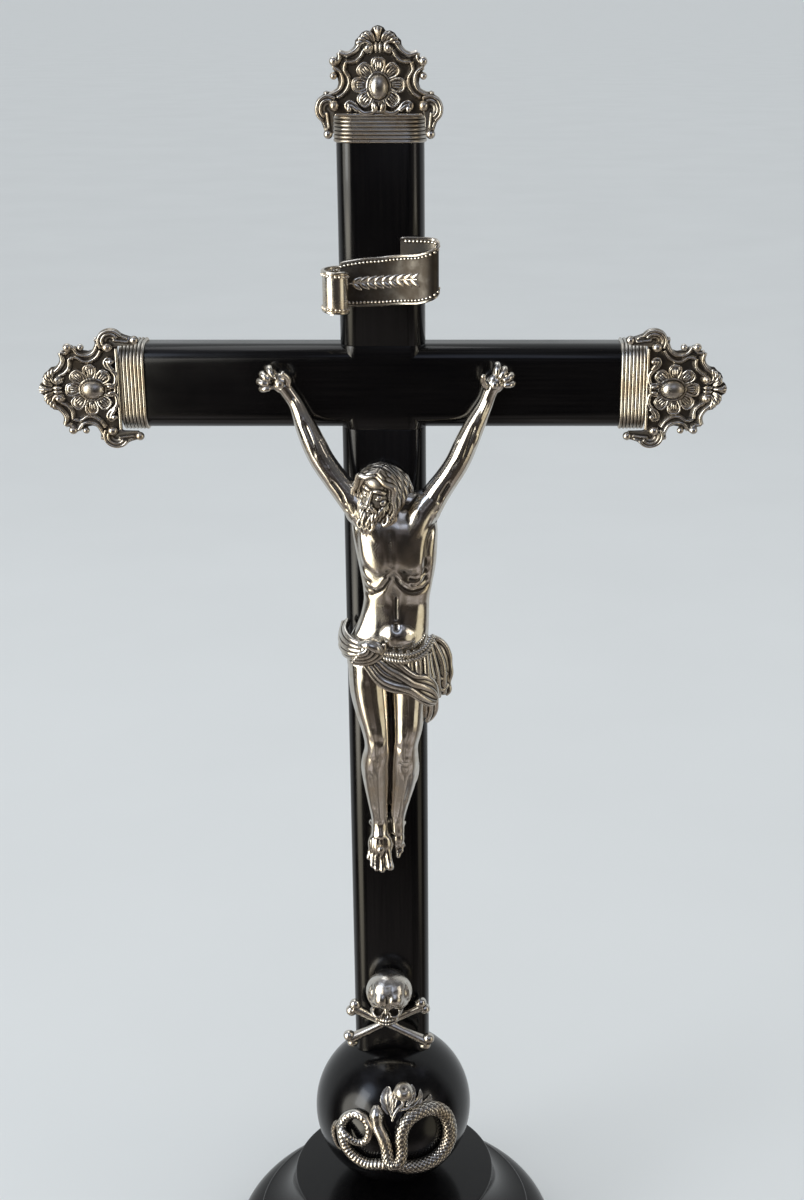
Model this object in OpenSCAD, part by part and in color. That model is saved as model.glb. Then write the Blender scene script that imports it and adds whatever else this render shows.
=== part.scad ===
// Altar cross: a rounded black beam cross with silver mounts, standing by a dry tenon in an orb
// on a turned foot. Origin: the middle of the underside of the felt. +Z up, the front faces -Y.

/* [Cross] */
// Width of the beams across the front
beam_w = 42; // [36:1:46]
// Thickness of the beams, front to back
beam_t = 20; // [18:1:24]
// Radius of the beams' front shoulders
shoulder_r = 9; // [6:0.5:9]
// Radius of the beams' back edges
back_r = 3; // [1:0.5:4]
// Height of the crossbar's centre line
cross_z = 540; // [530:1:560]
// From the cross's centre to the outer edge of each ferrule
arm_len = 130; // [120:1:140]
// Diameter of the dowels that join the shafts to the crossbar
dowel_d = 10; // [8:1:12]
// Length of the dowels
dowel_len = 36; // [24:2:40]

/* [End caps] */
// Length of the ribbed ferrule round each beam end
ferrule_len = 12.5; // [10:0.5:16]
// Number of ribs on a ferrule
rib_count = 7; // [5:1:9]
// Height of a ferrule over the wood
ferrule_proud = 1.3; // [1:0.1:2]
// Length of a cartouche beyond its ferrule
cartouche_len = 39.8; // [36:0.1:42]

/* [Stand] */
// Radius of the orb
orb_r = 45; // [43:0.1:46]
// Height of the orb's centre
orb_z = 111.6; // [110.5:0.1:112.5]
// Radius of the foot at the widest place
foot_r = 95; // [90:1:102]
// Radius of the collar's bottom edge
collar_r = 80; // [78:1:84]
// Radius of the collar's flat top
rim_r = 58.4; // [56:0.2:59]
// Height of the collar's flat top, where the orb sits
collar_z = 67; // [66.5:0.5:68]
// Height of the joint between the foot and the collar
foot_top = 34; // [32:1:35]
// Thickness of the felt under the foot
felt_t = 2; // [1:0.5:3]

/* [Tenon] */
// Width of the square-shouldered tenon
tenon_w = 16; // [12:1:20]
// Thickness of the tenon
tenon_t = 10; // [8:1:12]
// Length of the tenon below the top of the orb
tenon_len = 40; // [30:1:44]
// Gap on each side of the tenon in its mortise
tenon_gap = 0.15; // [0.1:0.05:0.3]
// Gap between the scribed foot of the shaft and the orb
seat_gap = 0.3; // [0.2:0.1:0.6]

/* [Hidden] */

half_w = beam_w / 2;
half_t = beam_t / 2;
wood_end = arm_len - 1;
orb_top = orb_z + orb_r;
tenon_z = orb_top - tenon_len;
orb_foot = orb_z - orb_r;
insert_z = orb_foot + 3;
pin_gap = 0.05;
nail_d = 1.8;
black = "#17161a";
silver = "#b9b3a6";

// Places of the pins, as [x, z] on the front of the wood
title_pin_at = [[-7, 594], [7, 594]];
corpus_pin_at = [[5, 462], [1, 400]];
skull_pin_at = [-1, 196];
left_palm = [-50, 544];
right_palm = [55, 544];
foot_nail_at = [-4, 291];
// Places of the serpent's pins, as [azimuth, elevation] on the orb, azimuth 0 at the front
serpent_pin_at = [[-22, 25], [-9, -10], [42, 20]];

// A point at height h over the orb, at an azimuth from the front and an elevation
function on_orb(az, el, h) = [
    (orb_r + h) * cos(el) * sin(az),
    -(orb_r + h) * cos(el) * cos(az),
    orb_z + (orb_r + h) * sin(el)
];

// A rounded limb through points, with a radius at each point
module limb(points, radii, sides = 16) {
    for (i = [0 : len(points) - 2])
        hull() {
            translate(points[i]) sphere(r = radii[i], $fn = sides);
            translate(points[i + 1]) sphere(r = radii[i + 1], $fn = sides);
        }
}

// ---- The wood ----

// Section of a beam grown by g on every side: x across, y front (-) to back (+)
module beam_section(g = 0) {
    front = shoulder_r + g;
    back = back_r + g;
    front_x = half_w - shoulder_r;
    front_y = shoulder_r - half_t;
    back_x = half_w - back_r;
    back_y = half_t - back_r;
    translate([-front_x, -half_t - g]) square([2 * front_x, beam_t + 2 * g]);
    translate([-back_x, front_y]) square([2 * back_x, half_t + g - front_y]);
    translate([-half_w - g, front_y]) square([beam_w + 2 * g, back_y - front_y]);
    for (s = [-1, 1]) {
        translate([s * front_x, front_y]) circle(r = front, $fn = 64);
        translate([s * back_x, back_y]) circle(r = back, $fn = 48);
    }
}

// A beam standing from z = low to z = high
module beam(low, high, g = 0) {
    translate([0, 0, low]) linear_extrude(high - low) beam_section(g);
}

module pin_hole(at, d, depth) {
    translate([at[0], -half_t - 1, at[1]]) rotate([-90, 0, 0])
        cylinder(d = d + 2 * pin_gap, h = depth + 1, $fn = 32);
}

// A hole for a nail's shank, right through a limb
module nail_hole(at) {
    translate([at[0], -half_t - 30, at[1]]) rotate([-90, 0, 0]) cylinder(d = 2 * pin_gap + nail_d, h = 31, $fn = 24);
}

module pin(at, d, from_y, to_y) {
    translate([at[0], from_y, at[1]]) rotate([-90, 0, 0]) cylinder(d = d, h = to_y - from_y, $fn = 32);
}

module dowel_hole(low, high) {
    translate([0, 0, low]) cylinder(d = dowel_d + 2 * pin_gap, h = high - low, $fn = 48);
}

// The three beam ends: the top one as it is, the arms turned to +X and -X
module at_end(side) {
    turn = side == "top" ? 0 : side == "right" ? 90 : -90;
    translate([0, 0, cross_z]) rotate([0, turn, 0]) children();
}

module ferrule_pin_holes() {
    for (s = [-1, 1])
        translate([s * 12, half_t + 3, arm_len - ferrule_len / 2]) rotate([90, 0, 0])
            cylinder(d = 1.5 + 2 * pin_gap, h = 9, $fn = 24);
}

module shaft_lower() {
    color(black) difference() {
        union() {
            difference() {
                beam(orb_z + 20, cross_z - half_w);
                translate([0, 0, orb_z]) sphere(r = orb_r + seat_gap, $fn = 128);
            }
            translate([-tenon_w / 2, -tenon_t / 2, tenon_z + 0.1])
                cube([tenon_w, tenon_t, tenon_len + 4]);
        }
        dowel_hole(cross_z - half_w - dowel_len / 2 - 0.25, cross_z - half_w + 1);
        for (p = corpus_pin_at) pin_hole(p, 3, 8);
        pin_hole(skull_pin_at, 3, 10);
        pin_hole(foot_nail_at, nail_d, 8);
    }
}

module crossbar() {
    color(black) difference() {
        union() {
            translate([0, 0, cross_z]) rotate([0, 90, 0])
                translate([0, 0, -wood_end]) linear_extrude(2 * wood_end) beam_section();
            beam(cross_z - half_w, cross_z + half_w);
        }
        dowel_hole(cross_z - half_w - 1, cross_z - half_w + dowel_len / 2 + 0.25);
        dowel_hole(cross_z + half_w - dowel_len / 2 - 0.25, cross_z + half_w + 1);
        pin_hole(left_palm, nail_d, 7);
        pin_hole(right_palm, nail_d, 7);
        for (side = ["left", "right"]) at_end(side) ferrule_pin_holes();
    }
}

module shaft_upper() {
    color(black) difference() {
        beam(cross_z + half_w, cross_z + wood_end);
        dowel_hole(cross_z + half_w - 1, cross_z + half_w + dowel_len / 2 + 0.25);
        for (p = title_pin_at) pin_hole(p, 2, 6);
        at_end("top") ferrule_pin_holes();
    }
}

module dowel_lower() {
    color("peru") translate([0, 0, cross_z - half_w - dowel_len / 2])
        cylinder(d = dowel_d, h = dowel_len, $fn = 48);
}

module dowel_upper() {
    color("peru") translate([0, 0, cross_z + half_w - dowel_len / 2])
        cylinder(d = dowel_d, h = dowel_len, $fn = 48);
}

// ---- End caps: u runs across the beam, v out from the ferrule's outer edge ----

module ferrule() {
    rib = ferrule_len / rib_count;
    low = arm_len - ferrule_len;
    color(silver) difference() {
        union() {
            beam(low, arm_len, ferrule_proud - 0.5);
            for (i = [0 : rib_count - 1]) beam(low + i * rib, low + (i + 0.62) * rib, ferrule_proud);
        }
        beam(low - 1, wood_end);
        ferrule_pin_holes();
    }
}

// Outline of a cartouche: a scrolled shield with a palmette on top
module cartouche_outline() {
    half = [[0, 0], [22, 0], [23.5, 10.8], [19.1, 13.4], [18.2, 16.2], [19.5, 20], [20, 23], [18, 27.8],
            [13.2, 27.3], [10.3, 30.6], [9.4, 32.9], [6, 35.6], [3.6, 37], [0, cartouche_len]];
    for (s = [0, 1]) mirror([s, 0]) {
        polygon(half);
        translate([23.9, 3.4]) circle(r = 5.4, $fn = 32);
        translate([25.2, -1.5]) circle(r = 3, $fn = 24);
        translate([20.4, 17.8]) circle(r = 1.9, $fn = 20);
        translate([20.6, 24.1]) circle(r = 2.1, $fn = 20);
        translate([8, 32.6]) circle(r = 2.2, $fn = 20);
    }
}

module cartouche() {
    plate_y = -half_t - 1.4;
    plate_t = 3.2;
    ring_v = 14.5;
    color(silver) translate([0, 0, arm_len]) difference() {
        union() {
            translate([0, plate_y + plate_t, 0]) rotate([90, 0, 0]) linear_extrude(plate_t) cartouche_outline();
            for (a = [0 : 45 : 315])
                translate([8 * sin(a), plate_y, ring_v + 8 * cos(a)]) sphere(r = 2.6, $fn = 24);
            translate([0, plate_y, 12.6]) sphere(r = 4.8, $fn = 32);
            for (s = [-1, 1]) {
                translate([s * 23.9, plate_y, 3.4]) sphere(r = 2.6, $fn = 24);
                translate([s * 5.1, plate_y, 29.5]) sphere(r = 2.2, $fn = 24);
                translate([s * 20.6, plate_y + 1, 24.1]) sphere(r = 2.1, $fn = 20);
                translate([s * 20.4, plate_y + 1, 17.8]) sphere(r = 1.9, $fn = 20);
            }
        }
        translate([-30, plate_y + plate_t, -20]) cube([60, 10, 70]);
        translate([0, 0, -20]) beam(0, 20, ferrule_proud + 0.05);
    }
}

module back_plate() {
    color(silver) translate([0, -half_t + 2.8, arm_len]) rotate([90, 0, 0]) linear_extrude(1)
        intersection() {
            cartouche_outline();
            translate([-29, 0]) square([58, cartouche_len]);
        }
}

module ferrule_top() { at_end("top") ferrule(); }
module ferrule_left() { at_end("left") ferrule(); }
module ferrule_right() { at_end("right") ferrule(); }
module cartouche_top() { at_end("top") cartouche(); }
module cartouche_left() { at_end("left") cartouche(); }
module cartouche_right() { at_end("right") cartouche(); }
module back_plate_top() { at_end("top") back_plate(); }
module back_plate_left() { at_end("left") back_plate(); }
module back_plate_right() { at_end("right") back_plate(); }

// Round-headed pins through the back of the ferrules, two to each
module ferrule_pins() {
    color(silver) for (side = ["top", "left", "right"]) at_end(side)
        for (s = [-1, 1])
            translate([s * 12, half_t + ferrule_proud, arm_len - ferrule_len / 2]) rotate([90, 0, 0]) {
                cylinder(d = 1.5, h = 6, $fn = 24);
                translate([0, 0, -0.8]) cylinder(d = 3, h = 0.8, $fn = 24);
            }
}

// ---- Title scroll: a ribbon that rolls up at one end and folds back at the other ----

scroll_turns = [for (a = [0 : 30 : 420]) let (r = 3.4 + 3.6 * a / 420)
    [-21 + r * cos(150 - a), -18.3 + r * sin(150 - a)]];
scroll_face = [[-14, -10.9], [-8, -10.8], [0, -10.8], [6, -11.4], [12, -13], [18, -15.6], [23, -17.4]];
scroll_fold = [[26, -17], [27.2, -14.6], [26, -12.2], [22, -11.2], [16, -11.2], [11, -11.8], [8.6, -13.4]];
scroll_path = concat(scroll_turns, scroll_face, scroll_fold);
scroll_h = 20;
scroll_t = 0.9;

// Height of the ribbon's lower edge at station i
function scroll_low(i) = let (n = len(scroll_turns), m = len(scroll_path) - 1)
    i < n ? 577.5 + 3 * i / n : 580.5 + 14.5 * (i - n) / (m - n);

// Direction across the ribbon at station i
function scroll_side(i) = let (
    a = scroll_path[max(i - 1, 0)],
    b = scroll_path[min(i + 1, len(scroll_path) - 1)],
    d = [a[1] - b[1], b[0] - a[0]]
) d / norm(d);

module title_scroll() {
    n = len(scroll_path);
    corners = [for (i = [0 : n - 1], up = [0, 1], s = [-1, 1]) let (
        p = scroll_path[i] + s * scroll_t / 2 * scroll_side(i)
    ) [p[0], p[1], scroll_low(i) + up * scroll_h]];
    walls = [for (i = [0 : n - 2], q = [[0, 1], [1, 3], [3, 2], [2, 0]])
        [4 * i + q[0], 4 * i + q[1], 4 * i + 4 + q[1], 4 * i + 4 + q[0]]];
    ends = [[0, 2, 3, 1], [4 * n - 4, 4 * n - 3, 4 * n - 1, 4 * n - 2]];
    color(silver) polyhedron(corners, concat(walls, ends), convexity = 8);
}

module title_pins() {
    color(silver) for (p = title_pin_at) pin(p, 2, -10.35, -half_t + 5.5);
}

// ---- Skull and crossed bones ----

module skull_form() {
    difference() {
        union() {
            hull() {
                translate([-0.8, -18, 199.6]) sphere(r = 13, $fn = 32);
                translate([-0.8, -20, 195]) sphere(r = 10, $fn = 32);
            }
            hull() {
                translate([-0.8, -23, 190]) sphere(r = 6.5, $fn = 24);
                translate([-0.8, -22, 183.5]) sphere(r = 4.6, $fn = 24);
            }
        }
        for (s = [-1, 1]) translate([-0.8 + s * 4.6, -29.5, 193]) sphere(r = 2.6, $fn = 20);
        translate([-40, -half_t, 150]) cube([80, 60, 80]);
    }
}

module skull() {
    color(silver) skull_form();
}

module bone(from, to) {
    along = (to - from) / norm(to - from);
    side = [-along[2], 0, along[0]];
    limb([from, to], [2.3, 2.3], 14);
    for (s = [-1, 1]) {
        translate(from + 2.3 * s * side) sphere(r = 3.1, $fn = 16);
        translate(to + 2.3 * s * side) sphere(r = 3.1, $fn = 16);
    }
}

module crossbones() {
    color(silver) difference() {
        union() {
            bone([-21.2, -13.5, 186.5], [20, -16, 165.5]);
            bone([17.7, -13.5, 186.5], [-23, -15, 165.5]);
        }
        skull_form();
    }
}

module skull_pin() {
    color(silver) pin(skull_pin_at, 3, -half_t, -half_t + 9.5);
}

// ---- Corpus ----

module torso_form() {
    hull() {
        translate([-6.5, -20, 473]) sphere(r = 10, $fn = 20);
        translate([17, -20, 474]) sphere(r = 10, $fn = 20);
        translate([-3.5, -20.5, 452]) sphere(r = 10.5, $fn = 20);
        translate([16, -20.5, 452]) sphere(r = 10.5, $fn = 20);
    }
    hull() {
        translate([-3, -20, 450]) sphere(r = 10, $fn = 20);
        translate([16, -20, 450]) sphere(r = 10, $fn = 20);
        translate([-1.5, -19, 432]) sphere(r = 9.6, $fn = 20);
        translate([13, -19, 432]) sphere(r = 9.6, $fn = 20);
    }
    hull() {
        translate([-1.5, -19, 432]) sphere(r = 9.6, $fn = 20);
        translate([13, -19, 432]) sphere(r = 9.6, $fn = 20);
        translate([-8.5, -19, 406]) sphere(r = 11, $fn = 20);
        translate([11, -19, 406]) sphere(r = 11, $fn = 20);
    }
}

left_leg = [[-8, -19, 405], [-6.5, -22, 378], [-4.6, -26, 350], [-6.2, -20, 335], [-4.6, -17, 318],
            [-3.8, -16, 303], [-3.8, -19, 291], [-4, -20.5, 281]];
left_leg_r = [11.5, 11, 7.6, 7.4, 6, 4.9, 6.2, 5.2];
right_leg = [[11, -19, 405], [11, -21, 378], [9.6, -25, 350], [8.8, -19, 335], [7, -15, 318],
             [6, -14.2, 303], [6, -15.2, 292], [6, -15.2, 287]];
right_leg_r = [11, 10.4, 7.4, 7, 5.4, 4.2, 4.4, 3.4];

module corpus_form() {
    difference() {
        union() {
            torso_form();
            limb(left_leg, left_leg_r);
            limb(right_leg, right_leg_r);
            limb([[5, -19, 478], [2, -21.5, 487]], [7, 6]);
        }
        translate([-60, -half_t, 250]) cube([120, 40, 300]);
    }
}

module head_form() {
    hull() {
        translate([-2, -22.5, 493]) sphere(r = 11.5, $fn = 20);
        translate([0.5, -25, 492]) sphere(r = 10.5, $fn = 20);
    }
    hull() {
        translate([-1, -28, 487]) sphere(r = 7.5, $fn = 16);
        translate([0.3, -30.5, 474.5]) sphere(r = 4, $fn = 16);
    }
    limb([[-12, -19.5, 492], [-13.5, -20.5, 481]], [5, 3.6]);
}

module corpus_body() {
    color(silver) difference() {
        corpus_form();
        nail_hole(foot_nail_at);
        head_form();
    }
}

module corpus_head() {
    color(silver) difference() {
        head_form();
        translate([-60, -half_t, 450]) cube([120, 40, 80]);
    }
}

module arm(points, radii, palm) {
    color(silver) difference() {
        limb(points, radii);
        nail_hole(palm);
        corpus_form();
        head_form();
        translate([-100, -half_t, 470]) cube([200, 40, 100]);
    }
}

module corpus_arm_left() {
    arm([[-13, -19, 481], [-22, -18, 494], [-30.6, -17, 505], [-37, -15.5, 520], [-43, -14, 534],
         [-49.5, -14.6, 543.5], [-56.5, -15, 546]], [7.4, 5.8, 5.6, 5.4, 3.7, 4.6, 4.4], left_palm);
}

module corpus_arm_right() {
    arm([[23, -19, 482], [30, -18, 494], [37, -17, 505], [43, -15.5, 519], [50.5, -14, 532],
         [55, -14.6, 543.5], [61, -15, 547]], [7.4, 5.8, 5.6, 5.4, 3.7, 4.6, 4.4], right_palm);
}

module loincloth_form() {
    hull() {
        translate([-9.5, -18, 409]) sphere(r = 13, $fn = 20);
        translate([12, -18, 404]) sphere(r = 12.5, $fn = 20);
    }
    hull() {
        translate([-8, -25, 402]) sphere(r = 6.5, $fn = 16);
        translate([12, -26, 391]) sphere(r = 7, $fn = 16);
        translate([22, -20, 379]) sphere(r = 5, $fn = 16);
        translate([11, -20, 395]) sphere(r = 12, $fn = 16);
    }
    hull() {
        translate([22, -16, 414]) sphere(r = 2.5, $fn = 14);
        translate([32.4, -14.6, 395]) sphere(r = 2.6, $fn = 14);
        translate([31.6, -14.6, 379]) sphere(r = 3, $fn = 14);
        translate([23, -15, 384]) sphere(r = 4, $fn = 14);
    }
    hull() {
        translate([21, -19, 380]) sphere(r = 6, $fn = 14);
        translate([22, -17, 366.5]) sphere(r = 4.2, $fn = 14);
    }
    translate([-8.3, -29, 409]) sphere(r = 7.4, $fn = 20);
}

module loincloth() {
    color(silver) difference() {
        loincloth_form();
        corpus_form();
        translate([-60, -half_t, 340]) cube([120, 40, 120]);
        translate([-3, -15, 385]) cube([13, 6, 17]);
    }
}

module waist_rope() {
    color(silver) difference() {
        for (dz = [0, 3.2])
            limb([[-1, -31.5, 405.5 + dz], [8, -32, 404.5 + dz], [17, -30, 406.5 + dz],
                  [22.5, -25.5, 409.5 + dz]], [1.5, 1.5, 1.5, 1.5], 10);
        loincloth_form();
        corpus_form();
    }
}

module nail(at, d, head_y, to_y) {
    pin(at, d, head_y, to_y);
    translate([at[0], head_y - 1, at[1]]) rotate([-90, 0, 0]) cylinder(d = 2.2 * d, h = 1, $fn = 24);
}

module hand_nails() {
    color(silver) for (p = [left_palm, right_palm]) nail(p, nail_d, -20.5, -half_t + 6.5);
}

module foot_nail() {
    color(silver) nail(foot_nail_at, nail_d, -27, -half_t + 7.5);
}

module corpus_pins() {
    color(silver) for (p = corpus_pin_at) pin(p, 3, -half_t, -half_t + 7.5);
}

// ---- Orb and its mounts ----

module orb() {
    color(black) difference() {
        translate([0, 0, orb_z]) sphere(r = orb_r, $fn = 128);
        translate([-tenon_w / 2 - tenon_gap, -tenon_t / 2 - tenon_gap, tenon_z])
            cube([tenon_w + 2 * tenon_gap, tenon_t + 2 * tenon_gap, tenon_len + 1]);
        translate([0, 0, orb_foot - 1]) cylinder(d = 12, h = 27, $fn = 48);
        for (p = serpent_pin_at) orb_peg(p, 2 + 2 * pin_gap, orb_r - 6.5, orb_r + 2);
    }
}

// A round peg along a radius of the orb, between two distances from its centre
module orb_peg(at, d, low, high) {
    translate([0, 0, orb_z]) rotate([0, 0, at[0]]) rotate([90 - at[1], 0, 0])
        translate([0, 0, low]) cylinder(d = d, h = high - low, $fn = 32);
}

module serpent_pins() {
    color(silver) for (p = serpent_pin_at) orb_peg(p, 2, orb_r - 6, orb_r + 0.1);
}

// Stations of the serpent: azimuth, elevation and radius of the body
serpent_route = [
    [-37, -8, 0.9], [-43, -2, 1.2], [-44, 6, 1.5], [-41, 13, 1.8], [-34, 11, 2], [-26, 7, 2.1],
    [-19, 9, 2.2], [-15, 15, 2.3], [-17, 22, 2.4], [-23, 25, 2.4], [-31, 23, 2.5], [-36, 16, 2.6],
    [-36, 7, 2.7], [-32, -1, 2.8], [-24, -7, 3], [-14, -10, 3.2], [-3, -9, 3.3], [10, -8, 3.5],
    [21, -10, 3.6], [32, -6, 3.7], [40, 2, 3.8], [44, 13, 3.8], [40, 24, 3.8], [32, 29, 3.7], [22, 27, 3.6]
];
serpent_neck = [[15, 19, 3.4], [9, 10, 3.2], [2, 1, 3], [-4, 7, 2.8], [-7, 16, 2.8], [-8, 24, 3.2], [-7, 31, 2.4]];

module serpent() {
    body = concat(serpent_route, serpent_neck);
    route_n = len(serpent_route);
    lift = 5.5;
    points = [for (i = [0 : len(body) - 1]) let (
        s = body[i],
        over = i >= route_n - 1 && i <= route_n + 2 ? lift : 0
    ) on_orb(s[0], s[1], s[2] + 0.4 + over * (i == route_n - 1 ? 0.3 : 1))];
    color(silver) limb(points, [for (s = body) s[2]], 12);
}

module apple() {
    color(silver) {
        translate(on_orb(11, 42, 5.4)) sphere(r = 5, $fn = 28);
        limb([on_orb(11, 36, 1.6), on_orb(4, 32, 1.6), on_orb(1, 26, 1.6)], [1.2, 1.2, 1.2], 10);
        limb([on_orb(1, 32, 1.8), on_orb(-2, 40, 2.4), on_orb(0, 46, 2.2)], [1.2, 2, 1], 10);
        limb([on_orb(14, 34, 1.6), on_orb(22, 34, 1.6), on_orb(25, 42, 1.8)], [1.2, 1.2, 1], 10);
    }
}

// ---- Turned foot ----

// Flange, hollow sweep and flat rim; the orb sits in a shallow dish
module base_collar() {
    flange_h = 5;
    edge_r = 1.5;
    rim_edge = 1.2;
    rim_low = collar_z - 3.5;
    cove_r = 26.6;
    color(black) difference() {
        rotate_extrude($fn = 160) {
            translate([0, foot_top]) square([collar_r - edge_r, flange_h]);
            translate([0, foot_top + edge_r]) square([collar_r, flange_h - 2 * edge_r]);
            for (z = [foot_top + edge_r, foot_top + flange_h - edge_r])
                translate([collar_r - edge_r, z]) circle(r = edge_r, $fn = 32);
            difference() {
                polygon([[0, foot_top + 4], [collar_r - 1.4, foot_top + 4], [collar_r - 1.4, foot_top + 5.2],
                         [rim_r - 0.2, rim_low + 0.2], [rim_r - 0.2, rim_low + 1], [0, rim_low + 1]]);
                translate([collar_r + 4, collar_z - 2]) circle(r = cove_r, $fn = 96);
            }
            translate([0, rim_low]) square([rim_r - rim_edge, collar_z - rim_low]);
            translate([0, rim_low + rim_edge]) square([rim_r, collar_z - rim_low - 2 * rim_edge]);
            for (z = [rim_low + rim_edge, collar_z - rim_edge])
                translate([rim_r - rim_edge, z]) circle(r = rim_edge, $fn = 32);
        }
        translate([0, 0, orb_z]) sphere(r = orb_r + 0.1, $fn = 128);
        translate([0, 0, foot_top - 1]) cylinder(d = 8.6, h = collar_z, $fn = 48);
    }
}

module base_foot() {
    roll_r = 17;
    roll_x = foot_r - roll_r;
    roll_z = foot_top - roll_r;
    color(black) difference() {
        rotate_extrude($fn = 192) {
            translate([0, felt_t]) square([foot_r - 2, 3]);
            translate([0, felt_t + 2]) square([foot_r, roll_z - felt_t - 2]);
            translate([foot_r - 2, felt_t + 2]) circle(r = 2, $fn = 32);
            translate([0, roll_z - 2]) square([roll_x, roll_r + 2]);
            intersection() {
                translate([roll_x, roll_z]) circle(r = roll_r, $fn = 96);
                translate([0, roll_z - 5]) square([foot_r + 1, roll_r + 6]);
            }
        }
        translate([0, 0, felt_t - 1]) cylinder(d = 30, h = 13, $fn = 64);
        translate([0, 0, felt_t]) cylinder(d = 8.6, h = foot_top, $fn = 48);
    }
}

module base_felt() {
    color("darkgreen") cylinder(r = foot_r - 4, h = felt_t, $fn = 160);
}

module tie_bolt() {
    color("gray") {
        translate([0, 0, 6.7]) cylinder(d = 15, h = 5.3, $fn = 6);
        translate([0, 0, 12]) cylinder(d = 8, h = insert_z + 6, $fn = 48);
    }
}

module tie_washer() {
    color("gray") translate([0, 0, 12]) difference() {
        cylinder(d = 24, h = 2, $fn = 64);
        translate([0, 0, -1]) cylinder(d = 8.4, h = 4, $fn = 48);
    }
}

module tie_insert() {
    color("goldenrod") translate([0, 0, insert_z]) difference() {
        cylinder(d = 12, h = 20, $fn = 48);
        translate([0, 0, -1]) cylinder(d = 8.04, h = 22, $fn = 48);
    }
}

base_felt();
base_foot();
base_collar();
tie_bolt();
tie_washer();
tie_insert();
orb();
serpent();
apple();
serpent_pins();
shaft_lower();
crossbar();
shaft_upper();
dowel_lower();
dowel_upper();
ferrule_top();
ferrule_left();
ferrule_right();
cartouche_top();
cartouche_left();
cartouche_right();
back_plate_top();
back_plate_left();
back_plate_right();
ferrule_pins();
title_scroll();
title_pins();
skull();
crossbones();
skull_pin();
corpus_body();
corpus_head();
corpus_arm_left();
corpus_arm_right();
loincloth();
waist_rope();
hand_nails();
foot_nail();
corpus_pins();
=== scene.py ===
import bpy
import math
import numpy as np
from mathutils import Vector, Matrix


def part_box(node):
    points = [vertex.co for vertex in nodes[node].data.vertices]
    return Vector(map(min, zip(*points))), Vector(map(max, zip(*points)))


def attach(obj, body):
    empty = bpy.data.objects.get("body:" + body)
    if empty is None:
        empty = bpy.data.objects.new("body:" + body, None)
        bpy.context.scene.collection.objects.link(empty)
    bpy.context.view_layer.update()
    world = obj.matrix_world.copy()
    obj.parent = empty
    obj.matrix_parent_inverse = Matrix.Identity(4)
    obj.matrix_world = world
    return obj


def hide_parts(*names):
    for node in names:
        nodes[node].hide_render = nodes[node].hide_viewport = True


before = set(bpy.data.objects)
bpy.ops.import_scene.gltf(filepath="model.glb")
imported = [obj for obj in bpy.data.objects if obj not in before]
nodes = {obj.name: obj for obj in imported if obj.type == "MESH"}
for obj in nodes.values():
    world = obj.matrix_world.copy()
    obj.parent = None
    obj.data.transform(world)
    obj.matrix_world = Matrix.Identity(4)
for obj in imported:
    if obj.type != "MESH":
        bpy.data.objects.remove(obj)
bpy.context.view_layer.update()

mm = 0.001   # pieces are modelled with one unit to the millimetre, then brought down
pi = math.pi


def middle(node):
    low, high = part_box(node)
    return [(low[i] + high[i]) / 2 / mm for i in range(3)]


def span(node):
    low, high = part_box(node)
    return [[low[i] / mm, high[i] / mm] for i in range(3)]


# places that the CAD frame gives, in millimetres
barY, barZ = span("crossbar")[1:]
crossZ = middle("crossbar")[2]
beamHalf = (barZ[1] - barZ[0]) / 2
beamFront, beamBack = barY
orbMid = middle("orb")
orbR = (span("orb")[0][1] - span("orb")[0][0]) / 2
orbMid[2] = span("orb")[2][0] + orbR
ferruleZ = span("ferrule_top")[2]
ferruleLen = ferruleZ[1] - ferruleZ[0]
armLen = ferruleZ[1] - crossZ
shaftFoot = span("shaft_lower")[2][0]
print("frame loaded:", len(nodes), "nodes")


def deselect():
    bpy.ops.object.select_all(action="DESELECT")


def only(obj):
    deselect()
    obj.select_set(True)
    bpy.context.view_layer.objects.active = obj
    return obj


def joined(parts):
    only(parts[0])
    for p in parts:
        p.select_set(True)
    if len(parts) > 1:
        bpy.ops.object.join()
    return bpy.context.view_layer.objects.active


def addModifier(obj, kind, **settings):
    m = obj.modifiers.new(kind.title(), kind)
    for key, value in settings.items():
        setattr(m, key, value)
    return m


def applyModifiers(obj):
    only(obj)
    for m in list(obj.modifiers):
        bpy.ops.object.modifier_apply(modifier=m.name)
    return obj


def applyPlace(obj):
    only(obj)
    bpy.ops.object.transform_apply(location=True, rotation=True, scale=True)
    return obj


def coords(obj):
    co = np.zeros(len(obj.data.vertices) * 3)
    obj.data.vertices.foreach_get("co", co)
    return co.reshape(-1, 3)


def normals(obj):
    no = np.zeros(len(obj.data.vertices) * 3)
    obj.data.vertices.foreach_get("normal", no)
    return no.reshape(-1, 3)


def setCoords(obj, co):
    obj.data.vertices.foreach_set("co", np.ascontiguousarray(co, dtype=float).ravel())
    obj.data.update()
    return obj


def ball(at, size, turn=(0, 0, 0), steps=(28, 18)):
    deselect()
    bpy.ops.mesh.primitive_uv_sphere_add(segments=steps[0], ring_count=steps[1], radius=1, location=at,
                                         rotation=[math.radians(a) for a in turn])
    obj = bpy.context.object
    obj.scale = (size, size, size) if isinstance(size, (int, float)) else size
    return applyPlace(obj)


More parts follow.
